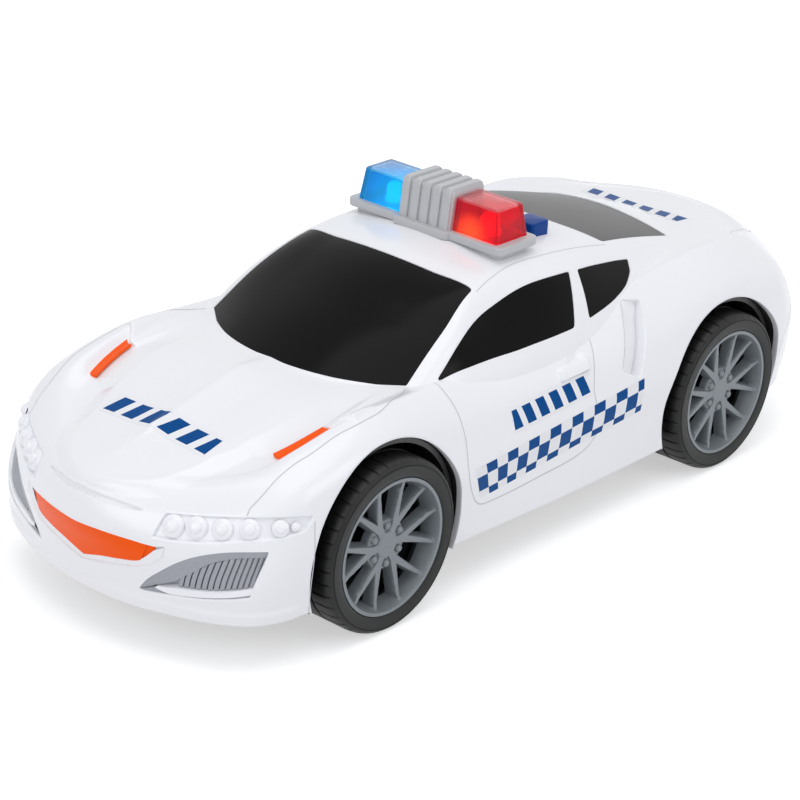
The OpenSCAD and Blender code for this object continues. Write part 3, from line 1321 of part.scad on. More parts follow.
module left_front_tyre() {
    color([0.07, 0.07, 0.07]) on_axle(front_axle_x, 1) tyre();
}

module right_front_tyre() {
    color([0.07, 0.07, 0.07]) on_axle(front_axle_x, -1) tyre();
}

module rear_axle() {
    color([0.75, 0.75, 0.77]) translate([rear_axle_x, 0, axle_z]) axle();
}

module left_rear_rim() {
    color([0.43, 0.46, 0.49]) on_axle(rear_axle_x, 1) rim();
}

module right_rear_rim() {
    color([0.43, 0.46, 0.49]) on_axle(rear_axle_x, -1) rim();
}

module left_rear_tyre() {
    color([0.07, 0.07, 0.07]) on_axle(rear_axle_x, 1) tyre();
}

module right_rear_tyre() {
    color([0.07, 0.07, 0.07]) on_axle(rear_axle_x, -1) tyre();
}

body_shell();
windscreen();
rear_window();
left_door_window();
right_door_window();
left_quarter_window();
right_quarter_window();
grille_panel();
left_intake_grille();
right_intake_grille();
left_hood_strip();
right_hood_strip();
lightbar_base();
lightbar_cover();
red_lens();
blue_lens();
red_led();
blue_led();
lightbar_screws();
chassis();
chassis_screws();
battery_door();
battery_door_screw();
battery_cells();
battery_contacts();
circuit_board();
board_screws();
tact_switch();
switch_plunger();
siren_button();
speaker();
speaker_ring();
drive_gear();
idler_gear();
idler_pin();
flywheel();
gear_case();
gear_case_cover();
gear_case_screws();
battery_lead();
speaker_lead();
front_axle();
left_front_rim();
right_front_rim();
left_front_tyre();
right_front_tyre();
rear_axle();
left_rear_rim();
right_rear_rim();
left_rear_tyre();
right_rear_tyre();
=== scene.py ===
import math
import bpy
import numpy as np
from mathutils import Matrix


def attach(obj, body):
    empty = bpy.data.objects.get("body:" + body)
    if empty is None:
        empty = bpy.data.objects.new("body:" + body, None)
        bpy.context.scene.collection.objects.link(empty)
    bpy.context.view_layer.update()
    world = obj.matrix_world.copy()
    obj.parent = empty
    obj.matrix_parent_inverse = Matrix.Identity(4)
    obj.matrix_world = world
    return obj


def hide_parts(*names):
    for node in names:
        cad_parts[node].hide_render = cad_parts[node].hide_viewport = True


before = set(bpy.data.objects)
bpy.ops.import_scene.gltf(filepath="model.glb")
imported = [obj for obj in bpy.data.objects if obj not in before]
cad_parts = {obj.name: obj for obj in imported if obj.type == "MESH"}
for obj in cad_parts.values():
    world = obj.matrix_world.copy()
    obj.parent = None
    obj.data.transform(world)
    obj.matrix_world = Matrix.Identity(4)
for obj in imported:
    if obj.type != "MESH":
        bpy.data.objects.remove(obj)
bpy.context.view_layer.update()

# Studio: the camera looks down on the left front corner of the car from about 75 cm, as in a catalogue.
# A pale paper floor, one large soft lamp overhead and two weaker ones light it evenly, so that the white
# plastic keeps its shading.
scene = bpy.context.scene
scene.view_settings.view_transform = "Standard"
camera_data = bpy.data.cameras.new("camera")
camera_data.lens = 115.74
camera_data.sensor_width = 36
camera_data.clip_start = 0.05
camera = bpy.data.objects.new("camera", camera_data)
scene.collection.objects.link(camera)
turn, roll = math.radians(131.31), math.radians(2.62)
back = np.array([0.68600, 0.60287, 0.40737])
level = np.array([math.cos(turn), math.sin(turn), 0.0])
rise = np.cross(back, level)
right = math.cos(roll) * level + math.sin(roll) * rise
up = math.cos(roll) * rise - math.sin(roll) * level
placed = np.eye(4)
placed[:3, 0], placed[:3, 1], placed[:3, 2], placed[:3, 3] = right, up, back, (0.52962, 0.45487, 0.33766)
camera.matrix_world = Matrix(placed.tolist())
scene.camera = camera


def linear(code):
    """Linear red, green, blue and alpha of an sRGB hex colour."""
    c = np.array([int(code[i:i + 2], 16) for i in (1, 3, 5)]) / 255
    return (*np.where(c <= 0.04045, c / 12.92, ((c + 0.055) / 1.055) ** 2.4).tolist(), 1.0)


def add(material, kind, feeds=None, **settings):
    """Adds a node to a material, sets its options and feeds its inputs with values or other nodes."""
    made = material.node_tree.nodes.new(kind)
    for key, value in settings.items():
        setattr(made, key, value)
    for key, value in (feeds or {}).items():
        if isinstance(value, bpy.types.NodeSocket):
            material.node_tree.links.new(value, made.inputs[key])
        else:
            made.inputs[key].default_value = value
    return made


def bare_material(name):
    """A material with nothing in it but its output."""
    made = bpy.data.materials.new(name)
    made.use_nodes = True
    made.node_tree.nodes.clear()
    return made, add(made, "ShaderNodeOutputMaterial")


world = bpy.data.worlds.new("studio")
scene.world = world
world.use_nodes = True
world.node_tree.nodes.clear()
rays = add(world, "ShaderNodeLightPath")
seen = add(world, "ShaderNodeMath", {
    0: rays.outputs["Is Camera Ray"], 1: rays.outputs["Is Transmission Ray"]}, operation="MAXIMUM")
seen = add(world, "ShaderNodeMath", {
    0: seen.outputs[0], 1: rays.outputs["Is Glossy Ray"]}, operation="MAXIMUM")
soft = add(world, "ShaderNodeBackground", {"Color": (0.93, 0.96, 1.0, 1.0), "Strength": 0.52})
white = add(world, "ShaderNodeBackground", {"Color": (1.0, 1.0, 1.0, 1.0), "Strength": 1.0})
both_skies = add(world, "ShaderNodeMixShader", {0: seen.outputs[0], 1: soft.outputs[0], 2: white.outputs[0]})
add(world, "ShaderNodeOutputWorld", {"Surface": both_skies.outputs[0]})
for lamp_name, place, aim, size, watts in (
        ("overhead", (0.05, 0.10, 0.95), (0, 0, 0.03), 0.9, 3.2),
        ("front", (0.95, 0.05, 0.50), (0, 0, 0.03), 0.6, 2.2),
        ("side", (-0.25, 1.0, 0.5), (0, 0, 0.03), 0.6, 2.0)):
    lamp_data = bpy.data.lights.new(lamp_name, "AREA")
    lamp_data.shape = "SQUARE"
    lamp_data.size = size
    lamp_data.energy = watts
    lamp = bpy.data.objects.new(lamp_name, lamp_data)
    scene.collection.objects.link(lamp)
    away = np.array(place) - np.array(aim)
    away /= np.linalg.norm(away)
    sideways = np.cross((0, 0, 1), away)
    sideways /= np.linalg.norm(sideways)
    stand = np.eye(4)
    stand[:3, 0], stand[:3, 1], stand[:3, 2], stand[:3, 3] = sideways, np.cross(away, sideways), away, place
    lamp.matrix_world = Matrix(stand.tolist())

paper, paper_out = bare_material("floor_paper")
paper_rays = add(paper, "ShaderNodeLightPath")
paper_seen = add(paper, "ShaderNodeMath", {
    0: paper_rays.outputs["Is Camera Ray"], 1: paper_rays.outputs["Is Glossy Ray"]}, operation="MAXIMUM")
paper_seen = add(paper, "ShaderNodeMath", {
    0: paper_seen.outputs[0], 1: paper_rays.outputs["Is Transmission Ray"]}, operation="MAXIMUM")
paper_lift = add(paper, "ShaderNodeMath", {0: paper_seen.outputs[0], 1: 0.5}, operation="MULTIPLY")
paper_coat = add(paper, "ShaderNodeBsdfDiffuse", {"Color": (0.86, 0.86, 0.87, 1.0)})
paper_glow = add(paper, "ShaderNodeEmission", {"Color": (1, 1, 1, 1), "Strength": paper_lift.outputs[0]})
paper_both = add(paper, "ShaderNodeAddShader", {0: paper_coat.outputs[0], 1: paper_glow.outputs[0]})
paper.node_tree.links.new(paper_both.outputs[0], paper_out.inputs["Surface"])
floor_mesh = bpy.data.meshes.new("floor")
floor_mesh.from_pydata([(-6, -6, 0), (6, -6, 0), (6, 6, 0), (-6, 6, 0)], [], [(0, 1, 2, 3)])
floor_mesh.materials.append(paper)
floor = bpy.data.objects.new("floor", floor_mesh)
scene.collection.objects.link(floor)

# Lower body: one injection moulding of glossy white ABS with hood, wings, doors and tail.
# Eight lines from the nose along the side to the tail, one above the other, draw it, with a smooth skin
# through them; u counts mm along the side, v counts mm up from the lower edge to the middle of the hood.
arch_radius, axle_height, axle_x = 29.5, 24.9, 75.0
along = np.array([0, 23, 50, 68, 97, 126, 167, 212, 247, 279, 300, 324, 347.0])
girth = np.array([0, 10, 20, 29, 39, 46, 60, 80.0])
hull_length, hull_middle = along[-1], girth[-1]
edge_line = [
    [134.5, 0, 14.5], [131.5, 22, 14.5], [120.5, 46, 15], [104, 52.5, 15], [75, 53, 15], [46, 53, 15],
    [5, 53, 14], [-40, 53, 14], [-75, 53, 15], [-106, 51.5, 17], [-122, 42, 20], [-132.5, 22, 21],
    [-135.5, 0, 21]]
rocker_line = [
    [135.4, 0, 24.5], [132.2, 22.5, 25], [120.5, 47.5, 26], [104.5, 53.5, 26], [75, 54, 27],
    [46, 53.5, 27], [5, 53, 27], [-40, 53.5, 27], [-75, 54.2, 28], [-106, 53, 30], [-123, 43.8, 30],
    [-134.5, 22, 32], [-137, 0, 32]]
waist_line = [
    [137.5, 0, 33.8], [131.8, 24.2, 33.2], [117, 48, 36], [103.5, 53.5, 37.5], [75, 54.5, 40],
    [46, 54, 38], [5, 53.5, 38], [-40, 54.5, 40], [-75, 55, 42], [-106, 53.5, 42], [-121.5, 43.5, 42],
    [-134, 22, 44], [-136.5, 0, 44]]
shoulder_line = [
    [136.4, 0, 40], [129, 23, 40.5], [113, 46, 45.5], [101, 51, 50], [75, 51.8, 54], [46, 50.5, 50.5],
    [5, 50, 50], [-40, 51, 52.5], [-75, 51, 57.5], [-103, 49, 54], [-118, 41, 52], [-130.5, 21, 53.5],
    [-133, 0, 54]]
crest_line = [
    [133.9, 0, 44.2], [124, 20, 45.5], [109, 39, 51], [98, 42, 56], [75, 43, 60], [50, 43.5, 59],
    [5, 42, 58], [-40, 42, 63], [-75, 41, 67], [-100, 38, 63.5], [-113, 32, 60.5], [-123, 17, 60.5],
    [-126, 0, 60.5]]
valley_line = [
    [130.5, 0, 45.4], [121, 16, 46.6], [108.5, 30, 49], [99.2, 35.7, 52], [79, 38, 56.6], [52, 38, 59],
    [5, 36, 59.5], [-40, 36, 63.5], [-75, 36, 66.8], [-99, 33.5, 64], [-111.5, 27, 61.5],
    [-120.5, 14, 61.3], [-124, 0, 61.2]]
half_line = [
    [126.5, 0, 46.5], [117, 11, 48], [104, 19, 51], [94, 21, 53.8], [75, 22, 57.6], [50, 22, 59.5],
    [5, 21, 61], [-40, 22, 64], [-75, 21, 66.5], [-97, 20, 65.5], [-108, 17, 63.8], [-115.5, 9, 63],
    [-119, 0, 62.8]]
middle_line = [
    [121, 0, 48], [111, 0, 50], [101, 0, 52.2], [92, 0, 54.3], [75, 0, 58.2], [50, 0, 61], [5, 0, 63],
    [-40, 0, 66], [-75, 0, 68], [-95, 0, 65.5], [-105, 0, 64.2], [-112, 0, 63.3], [-116, 0, 62.8]]
tail_drawn, tail_full = 62.0, 62.5


def with_full_tail(net):
    """Drawn points, those behind the rear axle moved back in proportion to the full length of the tail."""
    x = net[..., 0]
    net[..., 0] = np.where(x < -axle_x, -axle_x + (x + axle_x) * tail_full / tail_drawn, x)
    return net


hull_net = with_full_tail(np.array([edge_line, rocker_line, waist_line, shoulder_line, crest_line,
    valley_line, half_line, middle_line], float))
mirror_y = np.array([1.0, -1.0, 1.0])
hull_net = np.concatenate([hull_net, hull_net[-2:-1] * mirror_y], axis=0)
hull_net = np.concatenate([hull_net[:, 1:2] * mirror_y, hull_net, hull_net[:, -2:-1] * mirror_y], axis=1)
hull_places_v = np.append(girth, 2 * hull_middle - girth[-2])
hull_places_u = np.concatenate([[-along[1]], along, [2 * hull_length - along[-2]]])


def share(places, t):
    """Weight of each drawn point in a cubic through all of them at t; a point's slope is that of the line
    between its neighbours."""
    k = np.asarray(places, float)
    n = len(k)
    t = np.asarray(t, float).ravel()
    i = np.clip(np.searchsorted(k, t, side="right") - 1, 0, n - 2)
    h = k[i + 1] - k[i]
    s = (t - k[i]) / h
    r = np.arange(n)
    low, high = np.maximum(r - 1, 0), np.minimum(r + 1, n - 1)
    slope = np.zeros((n, n))
    slope[r, high] += 1 / (k[high] - k[low])
    slope[r, low] -= 1 / (k[high] - k[low])
    w = ((s ** 3 - 2 * s ** 2 + s) * h)[:, None] * slope[i] + ((s ** 3 - s ** 2) * h)[:, None] * slope[i + 1]
    rows = np.arange(len(t))
    w[rows, i] += 2 * s ** 3 - 3 * s ** 2 + 1
    w[rows, i + 1] += 3 * s ** 2 - 2 * s ** 3
    return w


def skin(net, places_u, places_v, ends_u, top_v, u, v, d):
    """Points at u along and v up a drawn skin, moved out by d along its normal; past the middle plane the
    skin is mirrored."""
    u, v, d = (a.astype(float) for a in np.broadcast_arrays(u, v, d))

    def at(u, v):
        side = np.where(v > top_v, -1.0, 1.0)
        v = np.where(v > top_v, 2 * top_v - v, v)
        if ends_u:
            side = side * np.where((u < ends_u[0]) | (u > ends_u[1]), -1.0, 1.0)
            u = np.where(u < ends_u[0], 2 * ends_u[0] - u, np.where(u > ends_u[1], 2 * ends_u[1] - u, u))
        p = np.einsum("pi,pj,ijk->pk", share(places_v, v), share(places_u, u), net, optimize=True)
        p[:, 1] *= side.ravel()
        return p.reshape(u.shape + (3,))

    step = 0.25
    normal = np.cross(at(u + step, v) - at(u - step, v), at(u, v + step) - at(u, v - step))
    normal /= np.maximum(np.linalg.norm(normal, axis=-1, keepdims=True), 1e-9)
    return at(u, v) + d[..., None] * normal


def eased(t):
    """Smooth step from 0 to 1 while t goes from 0 to 1."""
    t = np.clip(t, 0, 1)
    return t * t * (3 - 2 * t)


def relief(u, v):
    """Height of the moulded relief over the drawn skin: raised hood with sloping flanks and a middle ridge,
    vents behind the hood slips, door handle in its dish, slot under the hood's front edge, thicker foot of
    the bumper."""
    u, v = np.abs(u), np.where(v > hull_middle, 2 * hull_middle - v, v)
    foot = np.interp(u, [0, 11, 18.5, 21.5, 36.3, 59.7, 67.2, 90.5, 100, 118],
        [38.5, 36, 35, 35.4, 44.9, 51.3, 47.6, 46.8, 50, 50])
    brow = np.interp(u, [0, 11, 20, 43.8, 65, 86, 99.7, 110.5, 118],
        [44, 41, 41.8, 54.1, 55.7, 54.6, 54.7, 53.1, 52])
    high = 1.5 * np.clip((v - foot) / (brow - foot), 0, 1) * eased((112 - u) / 26)
    ridge = 1.0 * np.clip((v - 70) / 10, 0, 1) + 0.4 * np.clip((v - 77.4) / 2.6, 0, 1)
    high = high + ridge * eased((u - 6) / 24) * eased((112 - u) / 20)
    s = np.clip((u - 91) / 28, 0, 1)
    vent = (1 - s) * eased((u - 91) / 0.9) * eased((v - 37 - 6.5 * s) / 1.6) * eased((48 + 2.5 * s - v) / 1.6)
    high = high + 1.1 * vent * (u < 125)
    dish = eased(1.35 - np.hypot((u - 179.3) / 3.6, (v - 31.2) / 1.9))
    bar = np.maximum(np.abs(u - 177.2) - 5.4, 0) ** 2 + np.maximum(np.abs(v - 29.6) - 0.6, 0) ** 2
    high = high - 0.8 * dish * (1 - eased(1.5 - bar / 0.6)) + 1.1 * eased(1.4 - bar / 0.9)
    slot = 2.0 * np.sqrt(np.maximum(1 - (u / 18.5) ** 2, 0)) - np.abs(v - 34.4 + 0.19 * u)
    high = high - 0.9 * eased(slot / 0.9) * (u < 18.5)
    return high + 0.5 * eased((3.6 - v) / 1.2) * eased((66 - u) / 4)


def hull(u, v, d=0.0):
    """Point of the lower body at u along and v up it, d mm out of its moulded surface."""
    u, v = np.broadcast_arrays(np.asarray(u, float), v)
    d = d + relief(u, v)
    return skin(hull_net, hull_places_u, hull_places_v, (0.0, hull_length), hull_middle, u, v, d)


def grid_faces(nu, nv):
    """Four-cornered faces of a grid of nu by nv points, facing the side that u across v points to."""
    a = (np.arange(nu - 1)[:, None] * nv + np.arange(nv - 1)[None, :]).ravel()
    return np.stack([a, a + nv, a + nv + 1, a + 1], axis=1)


def make_piece(name, points, faces, material, body="car", sharp=38, uv=None):
    """One finished mesh object from points in mm and lists of faces; points that coincide are joined, and
    edges sharper than the given angle stay crisp."""
    faces = [f for f in (faces if isinstance(faces, list) else [faces]) if len(f)]
    corners = np.concatenate([f.ravel() for f in faces])
    corner_uv = None if uv is None else np.asarray(uv, float)[corners]
    points = np.asarray(points, float)
    used, corners = np.unique(corners, return_inverse=True)
    _, first, same = np.unique(np.round(points[used] * 2000), axis=0, return_index=True, return_inverse=True)
    points, corners = points[used][first], same.ravel()[corners.ravel()]
    sizes = np.concatenate([np.full(len(f), f.shape[1]) for f in faces])
    starts = np.concatenate([[0], np.cumsum(sizes)[:-1]])
    after = np.arange(1, len(corners) + 1)
    after[starts + sizes - 1] = starts
    lone = corners != corners[after]
    corner_uv = corner_uv if uv is None else corner_uv[lone]
    sizes = np.add.reduceat(lone.astype(int), starts)
    corners = corners[lone]
    mesh = bpy.data.meshes.new(name)
    mesh.vertices.add(len(points))
    mesh.vertices.foreach_set("co", (points / 1000).ravel())
    mesh.loops.add(len(corners))
    mesh.loops.foreach_set("vertex_index", corners.astype(np.int32))
    mesh.polygons.add(len(sizes))
    mesh.polygons.foreach_set("loop_start", np.concatenate([[0], np.cumsum(sizes)[:-1]]).astype(np.int32))
    mesh.polygons.foreach_set("use_smooth", np.ones(len(sizes), bool))
    if uv is not None:
        mesh.uv_layers.new(name="UVMap").data.foreach_set("uv", corner_uv.ravel())
    mesh.update(calc_edges=True)
    mesh.validate()
    mesh.set_sharp_from_angle(angle=math.radians(sharp))
    mesh.materials.append(material)
    made = bpy.data.objects.new(name, mesh)
    scene.collection.objects.link(made)
    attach(made, body)
    return made


def with_mirror(points, faces):
    """The given left-hand piece and its mirror image on the right of the car."""
    n = len(points)
    return np.concatenate([points, points * mirror_y]), np.concatenate([faces, faces[:, ::-1] + n])


def trimmed(points, keep):
    """Grid of points cut along the line where keep is zero: points next to the line move onto it, faces
    where keep is negative go."""
    nu, nv = keep.shape
    best, goal = np.full(keep.shape, 9.0), points.copy()
    for axis, way in ((0, 1), (0, -1), (1, 1), (1, -1)):
        other, there = np.roll(keep, -way, axis), np.roll(points, -way, axis)
        rim = np.zeros(keep.shape, bool)
        rim[(slice(None),) * axis + ((-1 if way == 1 else 0),)] = True
        share_of = np.where((keep * other < 0) & ~rim, keep / np.where(keep == other, 1.0, keep - other), 9.0)
        closer = (share_of <= 0.5) & (share_of < best)
        goal = np.where(closer[..., None], points + share_of[..., None] * (there - points), goal)
        best = np.where(closer, share_of, best)
    mark = np.where(best < 9.0, 0, np.sign(keep)).ravel()
    quads = grid_faces(nu, nv)
    q = mark[quads]
    whole = quads[(q >= 0).all(1) & (q > 0).any(1)]
    corners = []
    for k in range(4):
        rolled, m = np.roll(quads, -k, 1), np.roll(q, -k, 1)
        corners.append(rolled[(m[:, 0] > 0) & (m[:, 1] == 0) & (m[:, 2] < 0) & (m[:, 3] == 0)][:, [0, 1, 3]])
    return goal.reshape(-1, 3), whole, np.concatenate(corners)


def moulded_abs(name, colour, roughness, wave=0.012, tint=0.02, shine=0.5):
    """ABS from a polished mould: even colour with a trace of flow clouding 40 mm wide, and a skin that waves
    by a few microns over 6 mm."""
    made, out = bare_material(name)
    place = add(made, "ShaderNodeTexCoord").outputs["Object"]
    cloud = add(made, "ShaderNodeTexNoise", {"Vector": place, "Scale": 1000 / 40, "Detail": 2.0})
    base = np.array(linear(colour))
    deep = base * np.array([1 - tint, 1 - tint, 1 - tint * 0.7, 1])
    mixed = add(made, "ShaderNodeMix", {
        0: cloud.outputs[0], 6: tuple(deep), 7: tuple(base)}, data_type="RGBA")
    ripple = add(made, "ShaderNodeTexNoise", {"Vector": place, "Scale": 1000 / 6, "Detail": 3.0})
    bump = add(made, "ShaderNodeBump", {"Height": ripple.outputs[0], "Strength": wave, "Distance": 0.001})
    rough = add(made, "ShaderNodeMapRange", {
        "Value": cloud.outputs[0], 3: roughness * 0.9, 4: roughness * 1.1})
    shell = add(made, "ShaderNodeBsdfPrincipled", {
        "Base Color": mixed.outputs[2], "Roughness": rough.outputs[0], "Normal": bump.outputs[0], "IOR": 1.53,
        "Specular IOR Level": shine})
    made.node_tree.links.new(shell.outputs[0], out.inputs["Surface"])
    return made


# Glossy white ABS: a clean, slightly cool white with soft, mirror-like streaks of the lamps.
white_abs = moulded_abs("glossy_white_abs", "#F2F2F5", 0.2)


def patch(low, high):
    """Places between a lower and an upper edge of an outline, s along the edges and t from the lower to the
    upper one."""
    low, high = np.array(low, float), np.array(high, float)

    def at(s, t):
        s, t = np.broadcast_arrays(s, t)
        k = np.linspace(0, 1, len(low))
        a = (share(k, s) @ low).reshape(s.shape + (2,))
        b = (share(k, s) @ high).reshape(s.shape + (2,))
        return a + (b - a) * t[..., None]
    return at


def border(at, rounding=0.0, spacing=0.4, t_end=1.0):
    """Closed line of places round a patch at even spacing, its corners rounded by averaging over the given
    width in mm."""
    r = np.linspace(0, 1, 60)
    o = np.ones(60)
    sides = [at(r, 0 * o), at(o, r * t_end), at(r[::-1], t_end * o), at(0 * o, r[::-1] * t_end)]
    path = np.concatenate(sides)
    path = path[np.append(True, np.linalg.norm(np.diff(path, axis=0), axis=1) > 1e-6)]
    run = np.append(0, np.cumsum(np.linalg.norm(np.diff(np.concatenate([path, path[:1]]), axis=0), axis=1)))
    n = int(run[-1] / spacing)
    even = np.linspace(0, run[-1], n, endpoint=False)
    shut = np.concatenate([path, path[:1]])
    line = np.stack([np.interp(even, run, shut[:, 0]), np.interp(even, run, shut[:, 1])], axis=1)
    if rounding:
        steps = np.minimum(np.arange(n), n - np.arange(n)) * spacing
        bell = np.exp(-0.5 * (steps / rounding) ** 2)
        line = np.fft.ifft(np.fft.fft(line, axis=0) * np.fft.fft(bell / bell.sum())[:, None], axis=0).real
    area = np.sum(line[:, 0] * np.roll(line[:, 1], -1) - line[:, 1] * np.roll(line[:, 0], -1))
    return line if area > 0 else line[::-1]


def outside(line, u, v):
    """Distance of places u, v from a closed line, negative inside it."""
    q = np.stack([np.asarray(u, float).ravel(), np.asarray(v, float).ravel()], axis=1)
    low, high = line.min(0) - 3, line.max(0) + 3
    near = ((q > low) & (q < high)).all(1)
    a, b = line, np.roll(line, -1, axis=0)
    away = np.full(len(q), 3.0)
    p = q[near]
    if len(p):
        ab = b - a
        s = np.clip(((p[:, None] - a) * ab).sum(-1) / (ab ** 2).sum(-1), 0, 1)
        dist = np.linalg.norm(p[:, None] - a - s[..., None] * ab, axis=-1).min(1)
        crosses = (a[:, 1] > p[:, None, 1]) != (b[:, 1] > p[:, None, 1])
        x = a[:, 0] + (p[:, None, 1] - a[:, 1]) * ab[:, 0] / np.where(ab[:, 1] == 0, 1e-9, ab[:, 1])
        inside = (crosses & (p[:, None, 0] < x)).sum(1) % 2 == 1
        away[near] = np.where(inside, -dist, dist)
    return away.reshape(np.shape(u))


def lip(surface, line, profile):
    """A moulded rim: a profile of (distance out of the line, height over the skin) carried round a closed
    line on a skin."""
    along_line = np.roll(line, -1, axis=0) - np.roll(line, 1, axis=0)
    along_line /= np.linalg.norm(along_line, axis=1, keepdims=True)
    out = np.stack([along_line[:, 1], -along_line[:, 0]], axis=1)
    profile = np.array(profile, float)
    q = line[:, None] + profile[None, :, :1] * out[:, None]
    points = surface(q[..., 0], q[..., 1], np.broadcast_to(profile[:, 1], q.shape[:2]))
    points = np.concatenate([points, points[:1]])
    return points.reshape(-1, 3), grid_faces(len(points), len(profile))[:, ::-1]


lamp_patch = patch([[21.8, 23], [32, 22.6], [43, 22.6], [55, 22.2], [65, 21.9]],
    [[24.4, 30.7], [33, 29.6], [44.5, 28], [54, 26.6], [67.5, 23.8]])
grille_edge = [[0, 20.2], [7.9, 20.7], [15.6, 20.8], [20.9, 20.4], [23, 20.2]]
grille_frame = [[0, 7.5], [10.3, 9.6], [19.8, 11.8], [24.8, 15.6], [25.6, 20.6]]
grille_half = patch(grille_frame, grille_edge)
intake_top = [[19.9, 5.0], [22.5, 8.2], [25.6, 11.3], [29.9, 16.0], [34.2, 18.6], [41.2, 19.9], [52.3, 19.6]]
intake_foot = [[19.9, 4.9], [22.3, 4.8], [28.7, 5.2], [36.8, 5.8], [44.6, 6.8], [48, 7.3], [50.6, 7.7]]
intake_patch = patch(intake_foot, intake_top)
scoop_patch = patch([[196.4, 25.0], [204.1, 21.6]], [[206.6, 38.8], [213.4, 36.4]])


def grille_patch(s, t):
    """The grille outline on both sides of the nose, s from the right end to the left end."""
    s, t = np.broadcast_arrays(s, t)
    q = grille_half(np.abs(2 * s - 1), t)
    return np.stack([q[..., 0] * np.sign(2 * s - 1 + 1e-12), q[..., 1]], axis=-1)


lamp_line = border(lamp_patch, 0.5)
grille_line = border(grille_patch, 0.35)
intake_line = border(intake_patch, 0.4)
scoop_line = border(scoop_patch, 0.5)
rows_v = np.concatenate([np.arange(0, 58, 0.5), np.linspace(58, hull_middle, 18)])


def past_arches(points):
    """Distance of points from the round wheel openings, seen from the side, negative inside them."""
    front, rear = (np.hypot(points[..., 0] - x, points[..., 2] - axle_height) for x in (axle_x, -axle_x))
    return np.minimum(front, rear) - arch_radius


def hull_part(name, columns_u):
    """Part of the lower body on both sides, with openings for the wheels and for what is let into it."""
    u, v = np.meshgrid(columns_u, rows_v, indexing="ij")
    points = hull(u, v)
    keep = np.minimum(3.0, past_arches(points))
    for line in (lamp_line, grille_line, intake_line, scoop_line):
        keep = np.minimum(keep, outside(line, u, v) - 0.15)
    points[:, -1, 1] = 0
    flat, quads, corners = trimmed(points, keep)
    n = len(flat)
    faces = [quads, quads[:, ::-1] + n, corners, corners[:, ::-1] + n]
    return make_piece(name, np.concatenate([flat, flat * mirror_y]), faces, white_abs)


front_body = hull_part("front_body", np.concatenate([np.arange(0, 72, 0.5), np.arange(72, 130.01, 0.58)]))
rear_body = hull_part("rear_body", np.concatenate([np.arange(130, 240, 0.6),
    np.linspace(240, hull_length, 150)]))
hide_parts("body_shell")

# Cabin: roof, pillars and window surrounds, in one moulding with the lower body, rising out of its shoulders.
# Six lines from the foot of the cabin to the roof crown draw it; u counts mm from the windscreen foot back,
# v counts mm up to the crown.
cabin_along = np.array([0, 22, 42, 73, 104, 142, 164.0])
cabin_girth = np.array([0, 6, 16, 27, 42, 60.0])
cabin_middle = cabin_girth[-1]
cabin_net = with_full_tail(np.array([
    [[44, 46.5, 49], [30, 47, 49], [16, 47.5, 49], [-12, 48, 49],
     [-42, 46, 50], [-75, 40, 53], [-95, 34, 52]],
    [[47, 45.5, 54], [32, 45.5, 55.5], [17, 46, 56.5], [-12, 46, 57.5],
     [-42, 43, 59.5], [-76, 37, 60], [-96, 33, 56]],
    [[51, 42, 56.3], [34, 41.3, 63], [18, 39.5, 67], [-12, 40, 69],
     [-42, 37, 67.5], [-78, 33, 63], [-98, 30, 58]],
    [[54, 38.5, 57.8], [36, 36.5, 69], [18.6, 32.5, 76.5], [-12, 31.5, 78],
     [-42, 29.5, 74.5], [-80, 26.5, 66], [-100, 24, 60]],
    [[65, 20, 58.7], [43, 19.5, 70], [21, 18, 79.2], [-12, 17.5, 81],
     [-44, 16.5, 77.6], [-81, 15, 68.6], [-101, 14, 62]],
    [[68.5, 0, 59], [46, 0, 70.5], [22, 0, 80.3], [-12, 0, 82],
     [-45, 0, 78.5], [-82, 0, 69.5], [-102, 0, 63]]], float))
cabin_net = np.concatenate([cabin_net, cabin_net[-2:-1] * mirror_y], axis=0)
cabin_places_v = np.append(cabin_girth, 2 * cabin_middle - cabin_girth[-2])


def cabin(u, v, d=0.0):
    """Point of the cabin at u along and v up it, d mm out of the skin."""
    return skin(cabin_net, cabin_along, cabin_places_v, None, cabin_middle, u, v, d)


def across(low, half, high):
    """Places of a pane that reaches over the middle plane: t from the left edge (0) over the middle (1) to
    the right edge (2)."""
    low, half, high = (np.array(a, float) for a in (low, half, high))

    def at(s, t):
        s, t = np.broadcast_arrays(s, t)
        k = np.linspace(0, 1, len(low))
        a, b, c = ((share(k, s) @ e).reshape(s.shape + (2,)) for e in (low, half, high))
        w = np.where(t > 1, 2 - t, t)[..., None]
        q = a + (4 * b - 3 * a - c) * w + (2 * a - 4 * b + 2 * c) * w * w
        return np.stack([q[..., 0], np.where(t > 1, 2 * cabin_middle - q[..., 1], q[..., 1])], axis=-1)
    return at


windscreen_patch = across([[1.4, 27.8], [14, 28.2], [28, 28.2], [41, 28]],
    [[1.4, 45], [14, 45], [28, 45], [41, 45]], [[1.4, 60], [14, 60], [28, 60], [41, 60]])
rear_window_patch = across([[103.5, 27.6], [116, 28], [128, 28.2], [141, 28.2]],
    [[94, 43], [108, 43], [124, 43], [138, 43]], [[90.8, 60], [105.3, 60], [122.7, 60], [137, 60]])
door_window_patch = patch([[9.4, 16], [24, 12], [42, 9.7], [57, 9], [72.2, 8.6]],
    [[9.8, 17.6], [24, 21.1], [42, 21], [60, 21.9], [79, 21.1]])
quarter_window_patch = patch([[79.5, 8.8], [89, 9.2], [96, 10], [103, 11.9], [108.4, 15.4]],
    [[82.8, 20.8], [90, 20.6], [97, 20.3], [104, 20], [110.4, 19.5]])
windscreen_line = border(windscreen_patch, 1.0, t_end=2.0)
rear_window_line = border(rear_window_patch, 0.8, t_end=2.0)
door_window_line = border(door_window_patch, 0.6)
quarter_window_line = border(quarter_window_patch, 0.6)
